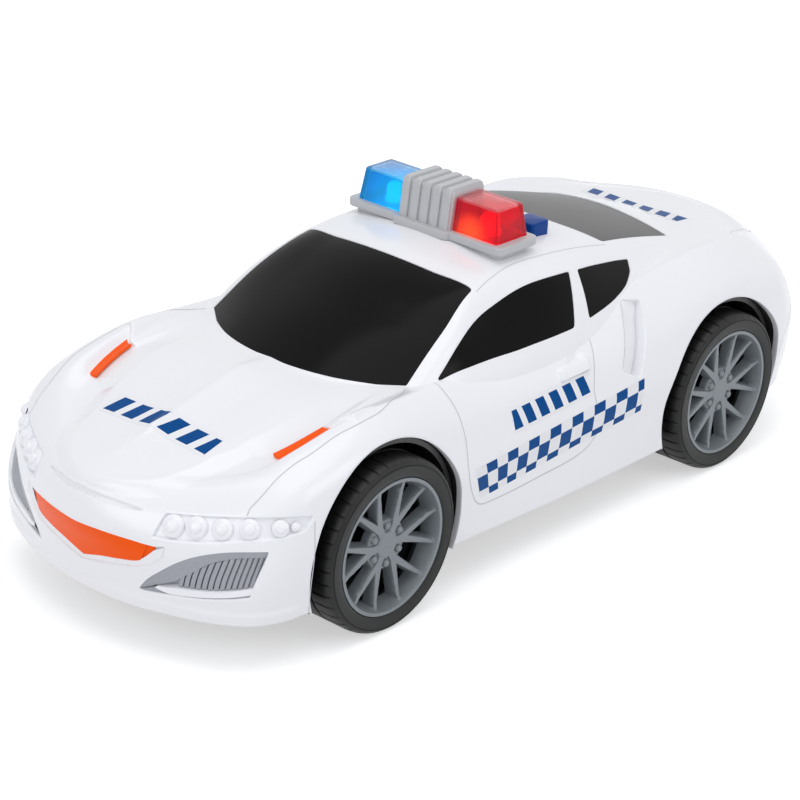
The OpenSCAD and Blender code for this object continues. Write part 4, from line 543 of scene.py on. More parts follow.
cabin_rows = np.concatenate([np.arange(0, 34, 0.5), np.linspace(34, 86, 60), np.arange(86.5, 120.1, 0.5)])
cabin_u, cabin_v = np.meshgrid(np.linspace(0, cabin_along[-1], 230), cabin_rows, indexing="ij")
cabin_points = cabin(cabin_u, cabin_v)
cabin_keep = np.full(cabin_u.shape, 3.0)
for window_line in (windscreen_line, rear_window_line):
    cabin_keep = np.minimum(cabin_keep, outside(window_line, cabin_u, cabin_v) - 0.15)
for window_line in (door_window_line, quarter_window_line):
    cabin_keep = np.minimum(cabin_keep, outside(window_line, cabin_u, cabin_v) - 0.15)
    cabin_keep = np.minimum(cabin_keep, outside(window_line, cabin_u, 2 * cabin_middle - cabin_v) - 0.15)
cabin_flat, cabin_quads, cabin_corners = trimmed(cabin_points, cabin_keep)
roof = make_piece("cabin", cabin_flat, [cabin_quads, cabin_corners], white_abs)

# Window rims: the edge of each opening in the white moulding, rounded as it comes out of the mould.
# It turns in by 1 mm over the pane, so that the gap round the pane lies in its own shadow.
window_profile = [(0.55, 0.012), (0.2, 0.012), (0.06, -0.02), (0.0, -0.12), (-0.05, -1.0)]
rim_parts = [lip(cabin, windscreen_line, window_profile), lip(cabin, rear_window_line, window_profile)]
rim_parts += [with_mirror(*lip(cabin, line, window_profile))
              for line in (door_window_line, quarter_window_line)]


def joined(parts):
    """Several lists of points and faces put together as one."""
    starts = np.cumsum([0] + [len(p) for p, _ in parts])
    return np.concatenate([p for p, _ in parts]), np.concatenate([f + s for (_, f), s in zip(parts, starts)])


window_rims = make_piece("window_rims", *joined(rim_parts), white_abs)

# Windows: six panes of black ABS, pushed into the openings of the shell from inside.
# All but the rear one come from a polished mould and mirror the room; the rear one's mould was lightly
# blasted, so it spreads the light of the lamps; its grey is a painted sheen, black ABS made lighter.
# The same glossy black also serves behind the wheels, as painted shade in the holes between the spokes.
black_abs_and_painted_shade = moulded_abs("glossy_black_abs_and_painted_shade", "#050506", 0.16, wave=0.02, tint=0.1, shine=0.08)
# The rear pane's lighter grey is painted sheen of the lamps on black ABS.
rear_pane_painted_sheen = moulded_abs("black_abs_painted_sheen", "#3A3A3C", 0.4, wave=0.04, tint=0.1, shine=0.9)
pane_depth, pane_overlap = 0.35, 0.35


def pane(surface, at, ns, nt, t_end, grow=0.01):
    """A pane just under the skin; its outermost points lie past the edge of its opening, by the overlap."""
    s, t = np.meshgrid(np.linspace(-grow, 1 + grow, ns), np.linspace(-grow * t_end, t_end * (1 + grow), nt),
        indexing="ij")
    inside_s, inside_t = np.clip(s, 0, 1), np.clip(t, 0, t_end)
    past_edge = np.stack([np.sign(s - inside_s), np.sign(t - inside_t)], axis=-1)
    q = at(inside_s, inside_t) + past_edge * pane_overlap
    points = surface(q[..., 0], q[..., 1], -pane_depth)
    return points.reshape(-1, 3), grid_faces(ns, nt)


for pane_name, at, ns, nt, t_end in (
        ("windscreen", windscreen_patch, 60, 90, 2.0),
        ("rear_window", rear_window_patch, 60, 90, 2.0),
        ("left_door_window", door_window_patch, 80, 20, 1.0),
        ("left_quarter_window", quarter_window_patch, 50, 20, 1.0)):
    points, faces = pane(cabin, at, ns, nt, t_end)
    pane_abs = rear_pane_painted_sheen if pane_name == "rear_window" else black_abs_and_painted_shade
    piece = make_piece(pane_name + "_pane", points, faces, pane_abs)
    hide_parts(pane_name)
    if pane_name.startswith("left"):
        other = pane_name.replace("left", "right")
        piece = make_piece(other + "_pane", points * mirror_y, faces[:, ::-1], black_abs_and_painted_shade)
        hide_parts(other)

# Lamps: a shallow channel in each front corner of the moulding, with six stepped round lamps on its floor.
# They are the same white ABS as the body, from a polished part of the mould, and so look wetter; their whiter
# tone is painted highlight.
white_abs_painted_highlight = moulded_abs("polished_white_abs_painted_highlight", "#F4F4F8", 0.12)


def sheet(surface, at, s, t, depth):
    """Part of a patch as a grid over the given shares along (s) and up it (t), at a depth given in mm or as
    a function of s, t."""
    s, t = np.meshgrid(s, t, indexing="ij")
    q = at(s, t)
    points = surface(q[..., 0], q[..., 1], depth(s, t) if callable(depth) else depth)
    return points.reshape(-1, 3), grid_faces(*s.shape)


def turned(place, axis, profile, n=40):
    """A profile of (radius, height) pairs turned round an axis through a place."""
    axis = axis / np.linalg.norm(axis)
    side = np.cross(axis, (0.31, 0.22, 0.92))
    side /= np.linalg.norm(side)
    r, h = np.array(profile, float).T
    a = np.linspace(0, 2 * math.pi, n + 1)[:, None]
    ring = np.cos(a)[..., None] * side + np.sin(a)[..., None] * np.cross(axis, side)
    points = np.asarray(place) + ring * r[None, :, None] + axis * h[None, :, None]
    return points.reshape(-1, 3), grid_faces(n + 1, len(r))


lamp_parts = [lip(hull, lamp_line, [(0.55, 0.012), (0.2, 0.012), (0.05, -0.03), (-0.08, -0.2), (-0.2, -0.75),
    (-0.4, -0.95), (-0.9, -0.95)])]
lamp_parts.append(sheet(hull, lamp_patch, np.linspace(0, 1, 60), np.linspace(0, 1, 8), -0.95))
lamp_steps = [(2.8, -1.1), (2.76, -0.6), (2.62, -0.2), (2.35, 0.1), (2.0, 0.28), (1.66, 0.36), (1.58, 0.42),
              (1.52, 0.72), (1.32, 0.98), (0.98, 1.16), (0.5, 1.27), (0.0, 1.3)]
for u, v, grown in ((26.6, 26.6, 1.14), (32.3, 26.3, 1.1), (38.5, 25.6, 1.06), (45.4, 25.1, 1.0),
        (54.7, 24.1, 0.82), (60.6, 23.3, 0.45)):
    foot = hull(np.array([u]), v, 0.0)[0]
    lamp_parts.append(turned(foot, hull(np.array([u]), v, 1.0)[0] - foot, np.array(lamp_steps) * grown))
lamps = make_piece("lamps", *with_mirror(*joined(lamp_parts)), white_abs_painted_highlight)

# Grille: a plain orange ABS panel snapped in behind the nose, stepped back towards its ends.
# The white moulding slopes in to it from below as a broad bevel and stops at a sharp edge above it.
# Orange ABS: a full, warm orange with little gloss, the same all over.
orange_abs = moulded_abs("orange_abs", "#FF5A00", 0.24, tint=0.04, shine=0.12)
orange_foot = [[0, 9.2], [7.1, 11.2], [13.7, 12.5], [19.5, 14.0], [22.8, 18.7]]
bevel_half = patch(grille_frame, orange_foot)
orange_half = patch(orange_foot, grille_edge)
half_s = np.linspace(0, 1, 40)
bevel_parts = with_mirror(*sheet(hull, bevel_half, half_s, np.linspace(0, 1, 9),
    lambda s, t: 0.03 - 0.45 * eased(t / 0.14) - 0.3 * t))
nose_lip = lip(hull, grille_line, [(0.5, 0.012), (0.2, 0.012), (0.05, -0.01), (0.0, -0.08), (-0.04, -1.4)])
nose_back = with_mirror(*sheet(hull, grille_half, half_s, np.linspace(0, 1, 9), -1.3))
nose_frame = make_piece("nose_frame", *joined([bevel_parts, nose_lip, nose_back]), white_abs)
stepped = np.sort(np.append(half_s, [0.765, 0.785]))
grille_sheet = sheet(hull, orange_half, stepped, np.linspace(-0.05, 1.02, 12),
    lambda s, t: -0.55 - 0.4 * (s > 0.775 - 0.02 * t))
grille = make_piece("grille", *with_mirror(*grille_sheet), orange_abs)
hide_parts("grille_panel")

# Intakes: silver painted inserts in the bumper corners, with a broad sloping band, a dark slot with upright
# slats below it, and a bright white lip that runs along the slot's foot to a point.
def flaked_paint(name, dark, light, flake_mm, metallic, roughness):
    """Sprayed paint with metal flakes: a noise, the given mm wide, mixes a dark and a light tone."""
    made, out = bare_material(name)
    place = add(made, "ShaderNodeTexCoord").outputs["Object"]
    flakes = add(made, "ShaderNodeTexNoise", {"Vector": place, "Scale": 1000 / flake_mm, "Detail": 1.0})
    tone = add(made, "ShaderNodeMix", {
        0: flakes.outputs[0], 6: linear(dark), 7: linear(light)}, data_type="RGBA")
    coat = add(made, "ShaderNodeBsdfPrincipled", {
        "Base Color": tone.outputs[2], "Metallic": metallic, "Roughness": roughness})
    made.node_tree.links.new(coat.outputs[0], out.inputs["Surface"])
    return made


# Silver paint: grey with fine bright flakes, drawn 0.25 mm wide, coarser than real, so that they show at all.
silver_paint = flaked_paint("silver_paint", "#85878E", "#A8AAB1", 0.25, 0.35, 0.38)
slot_top = [[25.4, 6.9], [29.7, 8.9], [33.8, 12.6], [37.3, 16.1], [41.7, 17.8], [46.7, 18.2], [52.4, 18.0]]
slot_foot = [[25.4, 6.8], [28.2, 7.2], [30.9, 7.7], [34.1, 7.9], [39.2, 8.3], [45.8, 9.3], [51.8, 10.5]]
lip_foot = [[24.6, 6.2], [27, 5.6], [29.3, 5.35], [33, 5.6], [38, 6.15], [44.5, 7.1], [50.9, 8.3]]
fine = np.linspace(0, 1, 50)
band_parts = [
    sheet(hull, patch(slot_top, intake_top), fine, np.linspace(0, 1.02, 7), lambda s, t: -0.95 + 0.6 * t),
    sheet(hull, patch(slot_top, slot_top), fine, np.linspace(0, 1, 3), lambda s, t: -2.4 + 1.45 * t),
    sheet(hull, patch(intake_foot, lip_foot), fine, np.linspace(-0.1, 1, 5), -0.45),
    sheet(hull, patch(slot_foot, slot_top), fine, np.linspace(-0.02, 1.02, 6), -2.3)]
slat_count = 13
slat_u = np.linspace(25.6, 51.6, 14)
slat_foot = np.stack([slat_u, np.interp(slat_u, *np.transpose(slot_foot))], axis=1)
slat_top = np.stack([slat_u + 0.3, np.interp(slat_u + 0.3, *np.transpose(slot_top))], axis=1)
slat_patch = patch(slat_foot, slat_top)
slat_high = np.array([-2.4, -1.25, -1.1, -1.1, -1.25, -2.4])[:, None]
for k in range(slat_count):
    slat_s = 0.2 + 0.79 * k / slat_count + np.array([0, 0, 0.008, 0.04, 0.048, 0.048])
    band_parts.append(sheet(hull, slat_patch, slat_s, np.linspace(0, 1, 8),
        lambda s, t: np.broadcast_to(slat_high, s.shape)))
for side_name, side in (("left", 1), ("right", -1)):
    points, faces = joined(band_parts)
    intake = make_piece(side_name + "_intake", points * (1, side, 1), faces[:, ::side], silver_paint)
    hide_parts(side_name + "_intake_grille")
lip_parts = [
    sheet(hull, patch(lip_foot, slot_foot), fine, np.linspace(0, 1, 6),
        lambda s, t: -0.4 - 0.25 * t - 1.6 * np.maximum(t - 0.8, 0) / 0.2),
    lip(hull, intake_line, [(0.5, 0.012), (0.2, 0.012), (0.05, -0.02), (0.0, -0.12), (-0.05, -2.4)])]
# The lips take the lamps' white, whose whiter tone is painted highlight.
intake_lips = make_piece("intake_lips", *with_mirror(*joined(lip_parts)), white_abs_painted_highlight)

# Hood slips: two small slips of the same orange ABS as the grille, one beside each flank of the hood.
# They are moulded with rounded edges, glued on, and lean outwards with the flank.
strip_patch = patch([[67.3, 44.2], [90.2, 42.9]], [[67.3, 47.3], [90.5, 46.5]])
slip_s = np.array([0, 0, 0.006, 0.02, 0.25, 0.5, 0.75, 0.98, 0.994, 1, 1])
slip_t = np.array([0, 0, 0.06, 0.2, 0.5, 0.8, 0.94, 1, 1])
slip_ends = np.array([-0.6, 0.3, 0.45, 0.5, 0.5, 0.5, 0.5, 0.5, 0.45, 0.3, -0.6])
slip_edges = np.array([-0.6, 0.3, 0.45, 0.5, 0.5, 0.5, 0.45, 0.3, -0.6])
slip_high = np.minimum(slip_ends[:, None], slip_edges)
for side_name, side in (("left", 1), ("right", -1)):
    points, faces = sheet(hull, strip_patch, slip_s, slip_t, lambda s, t: slip_high + 1.5 * (t - 0.4))
    slip = make_piece(side_name + "_hood_slip", points * (1, side, 1), faces[:, ::side], orange_abs)
    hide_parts(side_name + "_hood_strip")

# Scoops: wedge-shaped hollows behind the doors, where a real car takes in air, moulded into the white sides.
# They start level with the skin and run 4 mm deep towards the rear, with a crisp edge all round.
scoop_parts = [
    sheet(hull, scoop_patch, np.linspace(0, 1, 24), np.linspace(-0.01, 1.01, 20),
        lambda s, t: -0.02 - 4.0 * s ** 0.9),
    lip(hull, scoop_line, [(0.5, 0.012), (0.2, 0.012), (0.05, -0.03), (-0.04, -0.2), (-0.1, -4.4)])]
scoops = make_piece("scoops", *with_mirror(*joined(scoop_parts)), white_abs)

# Wheel arches and lower edge: the white skin turns in over the wheels and along the foot of the body.
# The turned edge is 1.8 mm deep at the arches and 6 mm high at the foot, and hides the end of the wall.
# Behind it the textured black ABS of the chassis lines each arch, 8 mm deep.
floor_abs = moulded_abs("textured_black_abs", "#161617", 0.42, wave=0.25, tint=0.15)


def places_at(goal, axes, u, v, range_u, range_v):
    """Places on the lower body whose points have the goal as their coordinates along two axes: from a first
    guess, steps of at most 4 mm along the slopes of the skin lead there."""
    step = 0.05
    for _ in range(25):
        here = hull(u, v)[..., axes]
        du = (hull(u + step, v)[..., axes] - here) / step
        dv = (hull(u, v + step)[..., axes] - here) / step
        miss = goal - here
        det = du[..., 0] * dv[..., 1] - du[..., 1] * dv[..., 0]
        det = np.where(np.abs(det) < 1e-3, 1e-3, det)
        move_u = (miss[..., 0] * dv[..., 1] - miss[..., 1] * dv[..., 0]) / det
        move_v = (du[..., 0] * miss[..., 1] - du[..., 1] * miss[..., 0]) / det
        u = np.clip(u + np.clip(move_u, -4, 4), *range_u)
        v = np.clip(v + np.clip(move_v, -4, 4), *range_v)
    return u, v


edge_depth = np.array([0.02, 0.0, 0.15, 0.6, 1.8, 8.0])
edge_inset = np.array([0.35, 0.12, -0.02, -0.1, -0.1, -0.1])
turn_parts, liner_parts = [], []
for x, middle in ((axle_x, 97.0), (-axle_x, 247.0)):
    angle = np.radians(np.linspace(-22, 202, 90))
    goal = np.stack([x + arch_radius * np.cos(angle), axle_height + arch_radius * np.sin(angle)], axis=1)
    u, v = places_at(goal, [0, 2], middle + x - goal[:, 0], np.clip(goal[:, 1] - 15, 0, 45),
        (0, hull_length), (-1, 60))
    skin_y = hull(u, v)[:, 1:2]
    y = skin_y - edge_depth * np.minimum(1, (skin_y - 44) / 8)
    radius = arch_radius + edge_inset
    points = np.stack([x + radius * np.cos(angle)[:, None], y,
        axle_height + radius * np.sin(angle)[:, None]], axis=-1)
    turn_parts.append((points[:, :5].reshape(-1, 3), grid_faces(len(angle), 5)))
    liner_parts.append((points[:, 4:].reshape(-1, 3), grid_faces(len(angle), 2)))
foot_u = np.arange(0, 347.01, 0.75)
foot_points = np.stack([
    hull(foot_u, 0.0, 0.0), hull(foot_u, 0.0, -0.3) - (0, 0, 0.15),
    hull(foot_u, 0.0, -1.7) - (0, 0, 0.15), hull(foot_u, 0.0, -1.9) + (0, 0, 6)], axis=1)
foot_keep = past_arches(foot_points)
foot_flat, foot_quads, _ = trimmed(foot_points, foot_keep)
turn_parts.append((foot_flat, foot_quads[:, ::-1]))
body_edges = make_piece("body_edges", *with_mirror(*joined(turn_parts)), white_abs)
arch_liners = make_piece("arch_liners", *with_mirror(*joined(liner_parts)), floor_abs)

# Panel lines: fine grooves of the mould where a real car has the joints of its doors, hood, bumper and tail.
# They are 0.3 mm wide and show as thin grey lines, so each is a strip laid on the skin, its grey the painted
# shade of the groove.
groove_painted_shade = moulded_abs("groove_shade", "#C2C2C8", 0.4)


# The strips carry painted shade: grey where a real groove would lie in its own shadow.
def groove(surface, places, width=0.32):
    """A thin strip along a smooth line through places on a skin."""
    places = np.array(places, float)
    run = np.append(0, np.cumsum(np.linalg.norm(np.diff(places, axis=0), axis=1)))
    t = np.linspace(0, run[-1], max(int(run[-1] / 0.8), 6))
    line = share(run, t) @ places
    way = np.gradient(line, axis=0)
    way /= np.linalg.norm(way, axis=1, keepdims=True)
    side = np.stack([-way[:, 1], way[:, 0]], axis=1)
    q = line[:, None] + side[:, None] * (np.array([-0.5, 0.5]) * width)[None, :, None]
    return surface(q[..., 0], q[..., 1], 0.02).reshape(-1, 3), grid_faces(len(t), 2)


groove_parts = [groove(hull, line) for line in (
    [[131, 41.5], [129.4, 35.1], [127.8, 28.6], [127.8, 25.3], [128, 19.4], [129.6, 14], [133.5, 8.2],
    [140, 7.2], [160, 7.6], [180, 9], [186, 13], [184.5, 19], [183.6, 24], [185.3, 28.1], [187.4, 32.6],
    [188.8, 38.5], [189, 42]],
    [[44.4, 28.4], [45.4, 30.5], [54.2, 36.1], [70, 36.1], [81.9, 36.6], [92.1, 36.3], [102.6, 37.2],
    [119.7, 43.4], [124, 45.5]],
    [[67.8, 22.8], [68.6, 15], [68.3, 6], [68.2, 0.2]],
    [[283.5, 45.1], [289.9, 46.3], [300, 42], [316.9, 33.4], [335, 33], [347, 33]],
    [[279, 8], [279, 12.8], [285.5, 18.7], [291, 25], [295, 30.9]])]
roof_groove = [[41.1, 26.8], [50, 27.9], [60.6, 28.9], [76.9, 27.9], [90, 27.1], [103.5, 26.1]]
groove_parts.append(groove(cabin, roof_groove, 0.25))
grooves = make_piece("grooves", *with_mirror(*joined(groove_parts)), groove_painted_shade)

# Stickers: thin clear film printed in blue and smoothed on by hand, a checker band along each side and plain
# slanted bars on the doors, the hood and the tail. The ink is a flat, deep blue with a faint mottle.
def film(name, paint):
    """Printed clear film: blue ink where paint(material, uv) is 1, the white body seen through elsewhere."""
    made, out = bare_material(name)
    place = add(made, "ShaderNodeUVMap")
    ink = paint(made, add(made, "ShaderNodeSeparateXYZ", {0: place.outputs[0]}))
    dots = add(made, "ShaderNodeTexNoise", {"Vector": add(made, "ShaderNodeTexCoord").outputs["Object"],
        "Scale": 1000 / 1.1, "Detail": 2.0})
    blue = add(made, "ShaderNodeMix", {0: dots.outputs[0], 6: linear("#004484"), 7: linear("#034F90")},
        data_type="RGBA")
    tone = add(made, "ShaderNodeMix", {0: ink, 6: linear("#EFEFF2"), 7: blue.outputs[2]}, data_type="RGBA")
    coat = add(made, "ShaderNodeBsdfPrincipled", {"Base Color": tone.outputs[2], "Roughness": 0.3, "IOR": 1.5,
        "Specular IOR Level": 0.06})
    made.node_tree.links.new(coat.outputs[0], out.inputs["Surface"])
    return made


def checks(made, uv):
    """Checker of three rows: whole squares in the middle, the outer rows cut short by the film's edges."""
    column = add(made, "ShaderNodeMath", {0: uv.outputs[0]}, operation="FLOOR")
    row = add(made, "ShaderNodeMath", {0: uv.outputs[1]}, operation="FLOOR")
    both = add(made, "ShaderNodeMath", {0: column.outputs[0], 1: row.outputs[0]}, operation="ADD")
    odd = add(made, "ShaderNodeMath", {0: both.outputs[0], 1: 2.0}, operation="MODULO")
    return odd.outputs[0]


def bars(made, uv):
    """Slanted bars: six to a sticker, each three fifths of its pitch wide."""
    lean = add(made, "ShaderNodeMath", {
        0: uv.outputs[1], 1: 0.35, 2: uv.outputs[0]}, operation="MULTIPLY_ADD")
    part = add(made, "ShaderNodeMath", {0: lean.outputs[0]}, operation="FRACT")
    inked = add(made, "ShaderNodeMath", {0: part.outputs[0], 1: 0.62}, operation="LESS_THAN")
    low = add(made, "ShaderNodeMath", {0: uv.outputs[1], 1: 0.12}, operation="GREATER_THAN")
    high = add(made, "ShaderNodeMath", {0: uv.outputs[1], 1: 0.88}, operation="LESS_THAN")
    tall = add(made, "ShaderNodeMath", {0: low.outputs[0], 1: high.outputs[0]}, operation="MULTIPLY")
    bar = add(made, "ShaderNodeMath", {0: inked.outputs[0], 1: tall.outputs[0]}, operation="MULTIPLY")
    return bar.outputs[0]


checker_film, bar_film = film("checker_film", checks), film("bar_film", bars)


def sticker(name, material, at, ns, nt, spread_u, spread_v, mirror=False):
    """A film on the lower body, 0.03 mm over the skin, with its own places for the print."""
    s, t = np.meshgrid(np.linspace(0, 1, ns), np.linspace(0, 1, nt), indexing="ij")
    q = at(s, t)
    points, faces = hull(q[..., 0], q[..., 1], 0.03).reshape(-1, 3), grid_faces(ns, nt)
    print_at = np.stack([spread_u[0] + (spread_u[1] - spread_u[0]) * s,
        spread_v[0] + (spread_v[1] - spread_v[0]) * t], axis=-1).reshape(-1, 2)
    if mirror:
        points, faces, print_at = *with_mirror(points, faces), np.concatenate([print_at, print_at])
    made = make_piece(name, points, faces, material, uv=print_at)
    return made


band_patch = patch([[134.6, 9.2], [155, 10.2], [180, 11.8], [205.4, 13.3]],
    [[130.9, 18.6], [155, 19.7], [180, 20.6], [205.6, 21.3]])
sticker("checker_bands", checker_film, band_patch, 120, 12, (0.02, 15.55), (0.56, 2.62), True)
sticker("door_bars", bar_film, patch([[148.6, 22.6], [182.6, 23.2]], [[148.2, 27.6], [182.4, 28.2]]), 40, 8,
    (-0.05, 5.7), (0, 1), True)


def over(x, y):
    """Places on the lower body that lie over the given x, y."""
    u = np.where(x < 0, 279 + (-95 - x) * 1.2, np.clip(121 - x, 0, hull_length) * 0.5 + 20)
    goal = np.stack([x, np.abs(y)], axis=-1)
    u, v = places_at(goal, [0, 1], u, 70 - np.abs(y) * 0.5, (1, 346), (30, 79.9))
    return np.stack([u, np.where(y < 0, 2 * hull_middle - v, v)], axis=-1)


sticker("hood_bars", bar_film, lambda s, t: over(111 - 8.5 * (1 - t), -20.5 + 40 * s), 60, 8,
    (5.65, 0), (1, 0))
sticker("tail_bars", bar_film, lambda s, t: over(-92 - 7.5 * (1 - t), -19 + 38 * s), 60, 8,
    (5.65, 0), (0, 1))

# Light bar: a base of grey ABS with a wider waist, screwed to the roof from inside.
# A cover of the same grey with five upright ribs stands in its middle, between the lenses.
# The grey is plain and half glossy, a little uneven where it cooled in the mould.
grey_abs = moulded_abs("grey_abs", "#BCBDBF", 0.3, wave=0.03, tint=0.05)
bar_x, bar_top = -2.5, 84.2


def block(rings, n=12):
    """A closed block through rings of (x0, x1, y0, y1, z, corner radius), its foot and top filled in."""
    a = np.linspace(0, math.pi / 2, n)
    layers = []
    for x0, x1, y0, y1, z, r in rings:
        r = max(min(r, (x1 - x0) / 2 - 1e-3, (y1 - y0) / 2 - 1e-3), 1e-3)
        corners = [(x1 - r, y1 - r, 0), (x0 + r, y1 - r, 1), (x0 + r, y0 + r, 2), (x1 - r, y0 + r, 3)]
        ring = [np.stack([cx + r * np.cos(a + q * math.pi / 2), cy + r * np.sin(a + q * math.pi / 2),
            np.full(n, z)], axis=1) for cx, cy, q in corners]
        ring = np.concatenate(ring)
        layers.append(np.concatenate([ring, ring[:1]]))
    middle = [np.broadcast_to([(r[0] + r[1]) / 2, (r[2] + r[3]) / 2, r[4]], layers[0].shape)
        for r in (rings[0], rings[-1])]
    points = np.stack([middle[0]] + layers + [middle[1]], axis=1)
    return points.reshape(-1, 3), grid_faces(points.shape[0], points.shape[1])


def slab(x0, x1, y0, y1, z0, z1, corner, edge):
    """Rings of an upright block whose edges are rounded by edge mm."""
    low = [(edge * (1 - s), z0 + edge * (1 - c)) for s, c in ((0, 1), (0.5, 0.87), (0.87, 0.5), (1, 0))]
    high = [(edge * (1 - c), z1 - edge * (1 - s)) for c, s in ((1, 0), (0.87, 0.5), (0.5, 0.87), (0, 1))]
    return [(x0 + inset, x1 - inset, y0 + inset, y1 - inset, z, corner) for inset, z in low + high]


base_parts = [block(slab(bar_x - 8.7, bar_x + 8.7, -29.5, 29.5, bar_top - 2.4, bar_top, 2.2, 0.35)),
              block(slab(bar_x - 10.2, bar_x + 10.2, -10.8, 10.8, bar_top - 2.42, bar_top - 0.02, 2.2, 0.35)),
              block(slab(bar_x - 7.2, bar_x + 7.2, -27.6, 27.6, bar_top - 4.9, bar_top - 1.2, 2.2, 0.2))]
bar_base = make_piece("bar_base", *joined(base_parts), grey_abs)
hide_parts("lightbar_base")


def cover_rings(grow, y0, y1, z0, z1, lean, edge):
    """Rings of the cover or of one of its ribs: the front and back lean in, the edges are rounded."""
    shares = [(0.0, 0.0), (0.9, 0.0), (1.0, 0.3), (1.0, 1.0)]
    rings = []
    for part, inset in shares:
        z = z0 + (z1 - z0 - edge) * part if part < 1 else z1 - edge * (1 - inset)
        lean_here = lean * (z - z0) / (z1 - z0)
        half = 7.8 + grow - lean_here - edge * inset
        side = edge * inset * 0.6
        rings.append((bar_x - half, bar_x + half, y0 + side, y1 - side, z, 0.5))
    return rings


cover_half, rib_count = 9.7, 5
cover_parts = [block(cover_rings(0.0, -cover_half, cover_half, bar_top, bar_top + 11, 1.3, 0.5))]
for k in range(rib_count):
    rib_y = -cover_half + (k + 0.5) * 2 * cover_half / rib_count
    cover_parts.append(block(cover_rings(0.7, rib_y - 1.5, rib_y + 1.5, bar_top, bar_top + 11.75, 1.3, 0.8)))
bar_cover = make_piece("bar_cover", *joined(cover_parts), grey_abs)
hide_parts("lightbar_cover")

# Lenses: hollow blocks of clear tinted polystyrene, red on the left and blue on the right, open below.
# Their walls are 1.2 mm thick. They stand on the base over the lamps, whose light in them is a painted glow.
def clear_plastic(name, colour, deep, pale, light, lamp_at, reach, glow):
    """Clear tinted polystyrene: light passes and takes on its colour, and faint flow lines 3 mm apart bend
    what is seen through it. Its top is painted paler, a painted highlight of the daylight through the thin
    top.
    It has a painted glow round the lamp inside, less with the distance from it."""
    made, out = bare_material(name)
    place = add(made, "ShaderNodeTexCoord").outputs["Object"]
    # Painted glow: emission that fades with the distance from the lamp inside.
    far = add(made, "ShaderNodeVectorMath", {0: place, 1: lamp_at}, operation="DISTANCE")
    near = add(made, "ShaderNodeMapRange", {
        "Value": far.outputs["Value"], 1: 0.0, 2: reach, 3: 1.0, 4: 0.0}, interpolation_type="SMOOTHERSTEP")
    shone = add(made, "ShaderNodeMath", {0: near.outputs[0], 1: glow}, operation="MULTIPLY")
    flow = add(made, "ShaderNodeTexNoise", {"Vector": place, "Scale": 1000 / 3, "Detail": 2.0})
    sides = add(made, "ShaderNodeMix", {
        0: flow.outputs[0], 6: linear(deep), 7: linear(colour)}, data_type="RGBA")
    # Painted highlight: above the top edge of the walls the colour turns to the pale one.
    level = add(made, "ShaderNodeSeparateXYZ", {0: place})
    top = add(made, "ShaderNodeMapRange", {
        "Value": level.outputs[2], 1: 0.0932, 2: 0.0939, 3: 0.0, 4: 0.6})
    tone = add(made, "ShaderNodeMix", {
        0: top.outputs[0], 6: sides.outputs[2], 7: linear(pale)}, data_type="RGBA")
    bump = add(made, "ShaderNodeBump", {"Height": flow.outputs[0], "Strength": 0.05, "Distance": 0.001})
    coat = add(made, "ShaderNodeBsdfPrincipled", {
        "Base Color": tone.outputs[2], "Roughness": 0.14, "IOR": 1.3, "Specular IOR Level": 0.2,
        "Transmission Weight": 0.78, "Normal": bump.outputs[0],
        "Emission Color": linear(light), "Emission Strength": shone.outputs[0]})
    made.node_tree.links.new(coat.outputs[0], out.inputs["Surface"])
    return made


def lens_rings(y0, y1, z0, z1, half, lean, edge):
    """Rings of a lens: front, back and outer end lean in, the top edges are rounded."""
    rings = []
    for z, inset in ((z0, 0.0), (z0 + (z1 - z0) * 0.5, 0.0), (z1 - edge, 0.0), (z1 - edge * 0.5, 0.13),
            (z1 - edge * 0.13, 0.5), (z1, 1.0)):
        inward = lean * (z - z0) / (z1 - z0) + edge * inset
        rings.append((bar_x - half + inward, bar_x + half - inward, y0 + edge * inset, y1 - inward, z, 0.6))
    return rings


red_clear = clear_plastic("clear_red_polystyrene", "#FA0440", "#E80034", "#FFDCDC", "#FF6018",
                          (0.0048, 0.0165, 0.0850), 0.008, 0.7)
blue_clear = clear_plastic("clear_blue_polystyrene", "#00A6E8", "#0090D4", "#E6F2FA", "#00C0E0",
                           (0.0050, -0.0115, 0.0852), 0.022, 0.34)
lens_outer = block(lens_rings(9.85, 26.65, bar_top + 0.02, bar_top + 9.8, 6.8, 1.3, 0.7))
lens_inner = block(lens_rings(11.05, 25.45, bar_top + 0.03, bar_top + 8.6, 5.6, 1.1, 0.4))
for lens_name, side, material, slot_name in (("red_lens", 1, red_clear, "red_clear"),
        ("blue_lens", -1, blue_clear, "blue_clear")):
    points, faces = joined([lens_outer, (lens_inner[0], lens_inner[1][:, ::-1])])
    lens = make_piece(lens_name + "_clear", points * (1, side, 1), faces[:, ::side], material)
    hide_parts(lens_name)

# Siren button: a small block of deep blue ABS in a square hole of the roof, behind the red lens.
# It slides down on the switch inside. Its edges are rounded for the finger, and its gloss is low.
button_abs = moulded_abs("blue_abs", "#003F8C", 0.25, tint=0.06, shine=0.12)
button_rings = slab(-24.7, -16.7, 14.4, 22.4, 77.0, 84.0, 1.4, 0.5)
button = make_piece("button_block", *block(button_rings), button_abs, body="siren_button")
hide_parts("siren_button")

